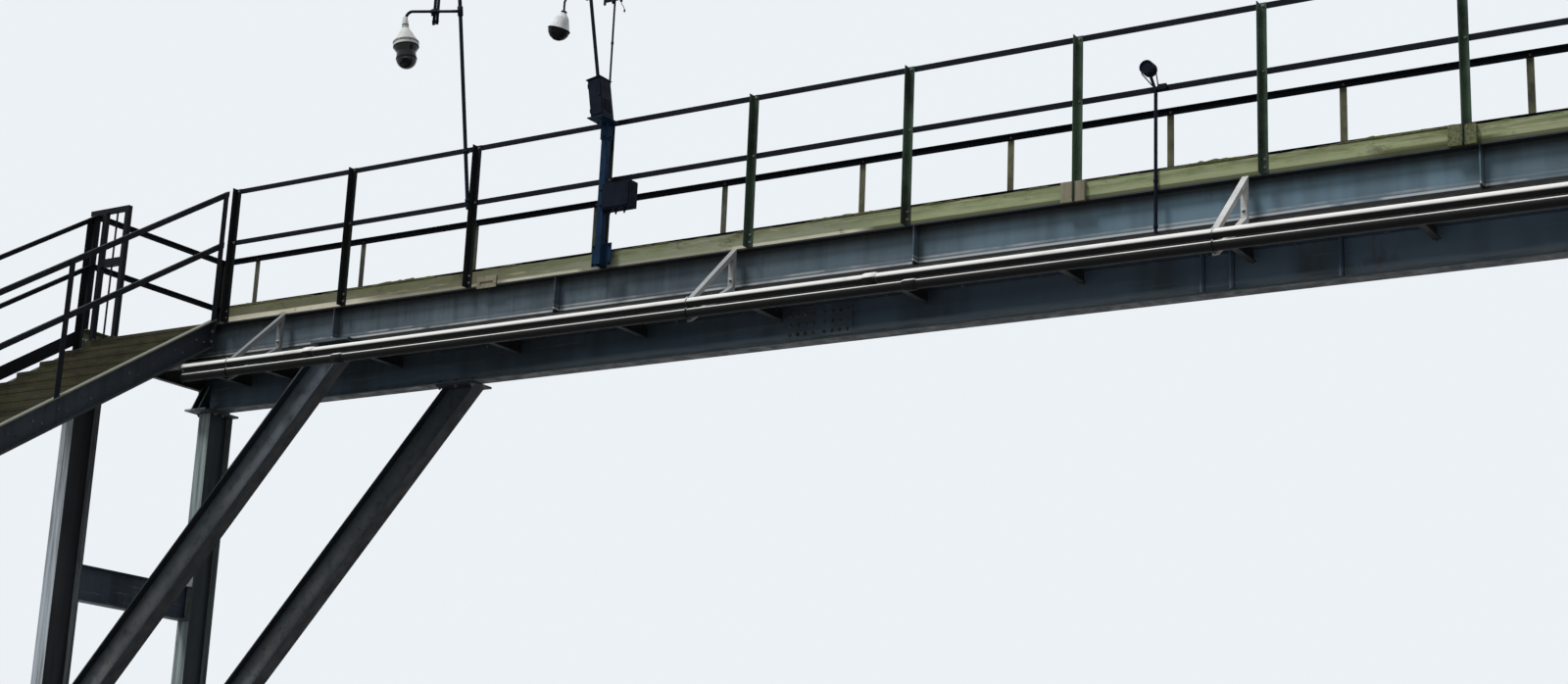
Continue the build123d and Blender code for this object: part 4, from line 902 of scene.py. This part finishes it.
RIBS = ((-0.009, -0.032), (-0.009, 0.002), (-0.004, 0.0045), (0.004, 0.0045), (0.008, 0.0025),
        (0.012, 0.0045), (0.018, 0.0045), (0.022, 0.0025), (0.026, 0.0045), (0.034, 0.0045),
        (0.037, 0), (-0.006, 0), (-0.006, -0.032))
nosings = Form()
form = Form()
for top_y, top_z in FLIGHTS:
    for k in range(RISERS):
        y, z = top_y - k * GOING, top_z - k * RISER
        left = 0.065 - BARRIER_X[0] if z == WALK else 0.005 - STRING_X[1]
        nosings.prism([(left, y + dy, z + dz) for dy, dz in RIBS], (-0.005 - STRING_X[0] - left, 0, 0))
        if k:
            for x, side in ((0.01 - STRING_X[0], 1), (-0.01 - STRING_X[1], -1)):
                form.bolts([x], [y + 0.09, y + 0.19], [z - 0.035], (side, 0, 0), 0.012)
    form.bolts((0.055 - STRING_X[0], -0.055 - STRING_X[1]), [top_y - 0.012],
               (top_z - 0.19, top_z - 0.09), FRONT, 0.016)
for x in BARRIER_X[::-1]:
    form.bolts(around(-x, 0.037), around(NEAR_KERB + 0.05, 0.037), [WALK + 0.008], UP, 0.01)
nosings.both_ends().piece("step_nosings", STEP_PLATE, "step_steel")
form.both_ends().piece("stair_bolts", BOLTS, "galvanised")


# Moss along the kerbs, dirt on the deck edges and in the corners of the steps

form = Form()
for end, y, z, *size in ((SPAN_END, NEAR_KERB + 0.016, KERB_TOP, 0.036, 0.03, 3, 0.04),
                         (END_X, FAR_KERB - 0.03, KERB_TOP, 0.05, 0.028, 11, 0.05),
                         (SPAN_END, NEAR_KERB + 0.075, WALK, 0.05, 0.03, 17, 0.06),
                         (END_X, FAR_KERB - 0.075, WALK, 0.05, 0.03, 23, 0.06)):
    form.growth((-end, y, z), (end, y, z), *size)
form.piece("kerb_moss", MOSS, "kerb_paint")

form = Form()
for n, (top_y, top_z) in enumerate(FLIGHTS):
    for k in range(1, RISERS):
        y, z = top_y - k * GOING + GOING - 0.028, top_z - k * RISER
        form.growth((0.003 - STRING_X[1], y, z), (-0.003 - STRING_X[0], y, z),
                    0.045, 0.022, 31 + 3 * k + n, 0.08, 0.35)
form.both_ends().piece("step_dirt", DIRT, "step_steel")


# Fittings of the camera mast and the camera

form = Form()
for z in (DECK + 0.8, DECK + 1.28):
    x = MAST.translation.x - (z - MAST.translation.z) * MAST_SLOPE
    form.collar(leaning((x, MAST_Y, z), MAST_LEAN), 0.0185, 0.023, 0.016, 20)
    form.box((x - 0.004, MAST_Y + 0.0195, z), (0.055, 0.006, 0.03))
    form.bolts((x - 0.022, x + 0.02), [MAST_Y + 0.016], [z], FRONT, 0.007)
form.lathe([(0.0185, 0), (0.0215, 0.003), (0.0215, 0.012), (0.006, 0.02)], MAST @ raised(2.25), 20)
form.collar(MAST @ raised(1.995), 0.0185, 0.026, 0.05, 20, 0.005)
form.tube([ARM_START + vec(-0.012, -0.03, 0), ARM_START + vec(-0.09, -0.012, 0.02)], 0.007, 8)
twin = ARM_START + vec(-0.32, 0, 0.0575)
for side in (-0.02, 0.02):
    form.tube([twin + vec(side, 0.029, z) for z in (-0.12, 0.2)], 0.0145, 14)
    for rise in (-0.09, 0.0, 0.15):
        form.tube([twin + vec(side, 0.029, z) for z in around(rise, 0.008)], 0.0175, 14)
form.box(twin + vec(0, 0.012, 0), (0.085, 0.006, 0.07))
for side in (-0.03, 0.03):
    form.tube([twin + vec(side, y, z) for y, z in
               ((0.02, 0.02), (-0.014, 0.018), (-0.0175, 0), (-0.014, -0.018), (0.02, -0.02))], 0.003, 8)
form.piece("mast_fittings", DARK_FITTING, "fitting_paint")

form = Form()
form.lathe([(0.033, -0.004), (0.031, 0.006), (0.0235, 0.075), (0.021, 0.083), (0.0145, 0.084)],
           CAMERA_TOP, 32)
form.piece("camera_neck", CAMERA, "camera_housing")

form = Form()
for z, radius in ((-0.004, 0.0335), (-0.03, 0.0335), (-0.187, 0.1225), (-0.2, 0.1222), (-0.2325, 0.1222)):
    form.collar(CAMERA_TOP @ raised(z), radius - 0.003, radius, 0.003, 40)
form.lathe([(0.0975, -0.3665), (0.0995, -0.362), (0.0995, -0.352), (0.0975, -0.3475)], CAMERA_TOP, 40)
form.lathe([(0.036, -0.01), (0.036, 0.016), (0.031, 0.02), (0.028, 0.012)],
           CAMERA_TOP @ facing((0.045, -0.065, -0.41), (0.45, -0.65, -0.61)), 28)
for turn in (0.4, 2.5, 4.6):
    form.bolt(CAMERA_TOP @ vec(0.115 * cos(turn), 0.115 * sin(turn), -0.232),
              CAMERA_TOP.to_3x3() @ Vector(DOWN), 0.004, 0)
form.piece("camera_parts", RUBBER, "fitting_paint")


# Fittings of the equipment mast: head plate, poles, cross-arm with its lead, cabinet, lamp and
# junction box, and those of the spotlight

form = Form()
form.bolts(around(EQUIPMENT_X, 0.085), [NEAR_KERB - 0.07], (DECK + 0.02, DECK + 0.18), FRONT, 0.012)
for z in (MAST_TOP - 0.03, MAST_TOP - 0.14):
    form.bolt((EQUIPMENT_X + 0.038, EQUIPMENT_Y, z), (1, 0, 0), 0.01)
    form.bolt((EQUIPMENT_X, EQUIPMENT_Y - 0.038, z), FRONT, 0.01)
form.bolts([EQUIPMENT_X - 0.06, EQUIPMENT_X + 0.08], [EQUIPMENT_Y - 0.17, EQUIPMENT_Y - 0.05],
           [MAST_TOP - 0.01], DOWN, 0.008)
form.lathe([(0.0165, 0.0), (0.03, 0.002), (0.03, 0.01), (0.0165, 0.014)],
           Matrix.Translation(POLE.translation), 20)
for z in (0.16, 0.3):
    form.collar(POLE @ raised(z), 0.0165, 0.0205, 0.012, 20)
form.collar(POLE @ raised(1.27), 0.0165, 0.0225, 0.028, 20)
for z in (0.2, 0.75, 1.2):
    form.collar(Matrix.Translation((EQUIPMENT_X, EQUIPMENT_Y, MAST_TOP + z)),
                0.0095, 0.0125, 0.014, 14, 0.002)
cross = vec(EQUIPMENT_X, EQUIPMENT_Y - 0.015, MAST_TOP + 1.16)
form.box(cross, (0.22, 0.012, 0.03))
for side in (-0.09, 0, 0.09):
    form.lathe([(0.006, 0), (0.012, -0.006), (0.012, -0.022), (0.008, -0.03), (0.004, -0.032)],
               Matrix.Translation(cross + vec(side, -0.012, -0.015)), 14)
lead = [cross + vec(*p) for p in ((0.09, -0.012, -0.044), (0.099, -0.014, -0.068),
                                  (0.122, -0.014, -0.1), (0.132, -0.012, -0.125))]
form.tube(lead, 0.0035, 8)
form.lathe([(0.005, 0.002), (0.008, -0.003), (0.008, -0.02), (0.005, -0.025)],
           Matrix.Translation(lead[-1]), 14)
form.box((0.004, -0.0875, 0.18), (0.118, 0.005, 0.33), CABINET)
form.box((0, -0.002, 0.369), (0.15, 0.186, 0.008), CABINET)
for z in (0.06, 0.3):
    form.tube([CABINET @ vec(-0.058, -0.0915, end) for end in around(z, 0.02)], 0.005, 10)
form.lathe([(0.009, 0), (0.009, 0.006), (0.004, 0.008)],
           CABINET @ facing((0.05, -0.09, 0.19), FRONT), 16)
for k in range(6):
    z = 0.06 + 0.02 * k
    form.prism([CABINET @ vec(0.0675, y, z + dz) for y, dz in
                ((-0.05, 0), (-0.05, 0.008), (0.05, 0.008), (0.05, 0))],
               CABINET.to_3x3() @ vec(0.005, 0, -0.003))
form.piece("equipment_parts", DARK_FITTING, "fitting_paint", 0.0008)

GLOBE = 0.0965


def on_globe(drop, turn):
    """Point on the lamp's globe, by the angle from its lowest point and the turn about its axis."""
    return LAMP_TOP @ vec(GLOBE * sin(drop) * cos(turn), GLOBE * sin(drop) * sin(turn),
                          -0.165 - GLOBE * cos(drop))


form = Form()
form.lathe([(0.095, -0.17), (0.103, -0.169), (0.103, -0.161), (0.097, -0.158)], LAMP_TOP, 36)
form.lathe([(0.022, -0.004), (0.027, -0.002), (0.027, 0.012), (0.012, 0.02)], LAMP_TOP, 24)
for k in range(8):
    form.tube([on_globe(pi / 2 * i / 8, pi * k / 4) for i in range(9)], 0.002, 6)
for drop in (0.35, 0.75, 1.15):
    form.tube([on_globe(drop, pi * i / 12) for i in range(24)], 0.002, 6, True)
form.bolts([LAMP_ARM.x], [EQUIPMENT_Y - 0.02], around(LAMP_ARM.z, 0.012), FRONT, 0.005)
form.piece("lamp_parts", RUBBER, "fitting_paint")

form = Form()
box_x, box_z = EQUIPMENT_X + 0.1803, DECK + 0.5975
form.box((box_x, EQUIPMENT_Y - 0.0585, box_z), (0.276, 0.007, 0.211))
for x in around(box_x, 0.128):
    for z in around(box_z, 0.0945):
        form.lathe([(0.006, 0), (0.006, 0.003), (0.003, 0.004)],
                   facing((x, EQUIPMENT_Y - 0.062, z), FRONT), 12)
for x in (box_x - 0.09, box_x - 0.02, box_x + 0.07):
    form.lathe([(0.013, 0), (0.013, 0.008), (0.017, 0.009), (0.017, 0.02), (0.009, 0.028), (0.007, 0.045)],
               facing((x, EQUIPMENT_Y - 0.01, DECK + 0.48), DOWN), 12)
form.bolts([EQUIPMENT_X], [EQUIPMENT_Y - 0.03], around(DECK + 0.6, 0.07), FRONT, 0.009)
form.piece("junction_box_parts", DARK_FITTING, "fitting_paint", 0.001)

form = Form()
front = facing(SPOT_HEAD + vec(0, -0.045, 0), FRONT)
form.lathe([(0.05, -0.012), (0.056, -0.01), (0.056, 0.012), (0.049, 0.014), (0.047, 0.003)], front, 28)
for k in range(4):
    form.collar(front @ raised(-0.035 - 0.013 * k), 0.05, 0.0565, 0.003, 28)
for side in (-1, 1):
    form.tube([SPOT + vec(side * 0.02, 0, 0.03), SPOT_HEAD + vec(side * 0.058, 0, -0.03),
               SPOT_HEAD + vec(side * 0.058, 0, 0)], 0.005, 8)
for z in (DECK - 0.3, DECK + 0.06, DECK + 0.79):
    form.collar(Matrix.Translation((SPOT.x, SPOT.y, z)), 0.0145, 0.018, 0.012, 16)
form.box(SPOT + vec(0.055, -0.004, 0.015), (0.07, 0.03, 0.045))
form.piece("spotlight_parts", DARK_FITTING, "fitting_paint", 0.001)


# Camera, light and surroundings

EYE = (3.59, -10.7115, 1.7521)
YAW, PITCH, ROLL = -0.5633, 0.2564, 0.0418
FOCAL = 2408
PHOTO_WIDTH = 1600
SENSOR = 36


def make_camera():
    """Camera of the photo, as fitted to posts, rails and girder edges."""
    data = bpy.data.cameras.new("camera")
    camera = new_object("camera", data)
    ahead = vec(sin(YAW) * cos(PITCH), cos(YAW) * cos(PITCH), sin(PITCH))
    right = vec(cos(YAW), -sin(YAW), 0)
    up = right.cross(ahead)
    right, up = right * cos(ROLL) + up * sin(ROLL), up * cos(ROLL) - right * sin(ROLL)
    turn = Matrix((right, up, -ahead)).transposed().to_4x4()
    camera.matrix_world = Matrix.Translation(EYE) @ turn
    data.sensor_width = SENSOR
    data.lens = SENSOR * FOCAL / PHOTO_WIDTH
    data.clip_end = 400
    bpy.context.scene.camera = camera


def seen_ray(tree):
    """1 for rays that are seen directly, in a reflection or through glass."""
    path = tree.nodes.new("ShaderNodeLightPath")
    seen = path.outputs["Is Camera Ray"]
    for ray in ("Is Glossy Ray", "Is Transmission Ray"):
        join = tree.nodes.new("ShaderNodeMath")
        join.operation = "MAXIMUM"
        tree.links.new(seen, join.inputs[0])
        tree.links.new(path.outputs[ray], join.inputs[1])
        seen = join.outputs[0]
    return seen


def make_light():
    sun = bpy.data.lights.new("sun", "SUN")
    sun.energy = 2.3
    sun.angle = radians(14)
    lamp = new_object("sun", sun)
    lamp.rotation_euler = vec(0.3, 0.46, -0.84).to_track_quat("-Z", "Y").to_euler()
    world = bpy.data.worlds.new("world")
    bpy.context.scene.world = world
    world.use_nodes = True
    tree = world.node_tree
    tree.nodes.clear()
    out = tree.nodes.new("ShaderNodeOutputWorld")
    soft = tree.nodes.new("ShaderNodeBackground")
    soft.inputs[0].default_value = (0.96, 0.98, 1, 1)
    soft.inputs[1].default_value = 0.5
    seen = tree.nodes.new("ShaderNodeBackground")
    seen.inputs[0].default_value = (0.84, 0.88, 0.92, 1)
    seen.inputs[1].default_value = 1
    blend = tree.nodes.new("ShaderNodeMixShader")
    tree.links.new(seen_ray(tree), blend.inputs[0])
    tree.links.new(soft.outputs[0], blend.inputs[1])
    tree.links.new(seen.outputs[0], blend.inputs[2])
    tree.links.new(blend.outputs[0], out.inputs[0])


def make_floor():
    g = Graph("floor")
    cloud = g.noise(0.3, 3, 0.5)
    pale = g.mix(cloud, (0.74, 0.745, 0.75), (0.7, 0.705, 0.71))
    g.colour = g.mix(seen_ray(g.tree), (0.16, 0.165, 0.15), pale)
    mat = g.finish(g.span(cloud, 0, 1, 0.8, 0.9), cloud, 0.02)
    mesh = bpy.data.meshes.new("floor")
    mesh.from_pydata([(-70, -70, 0), (70, -70, 0), (70, 70, 0), (-70, 70, 0)], [], [(0, 1, 2, 3)])
    mesh.materials.append(mat)
    floor = new_object("floor", mesh)


make_camera()
make_light()
make_floor()

bpy.context.scene.view_settings.view_transform = "Standard"
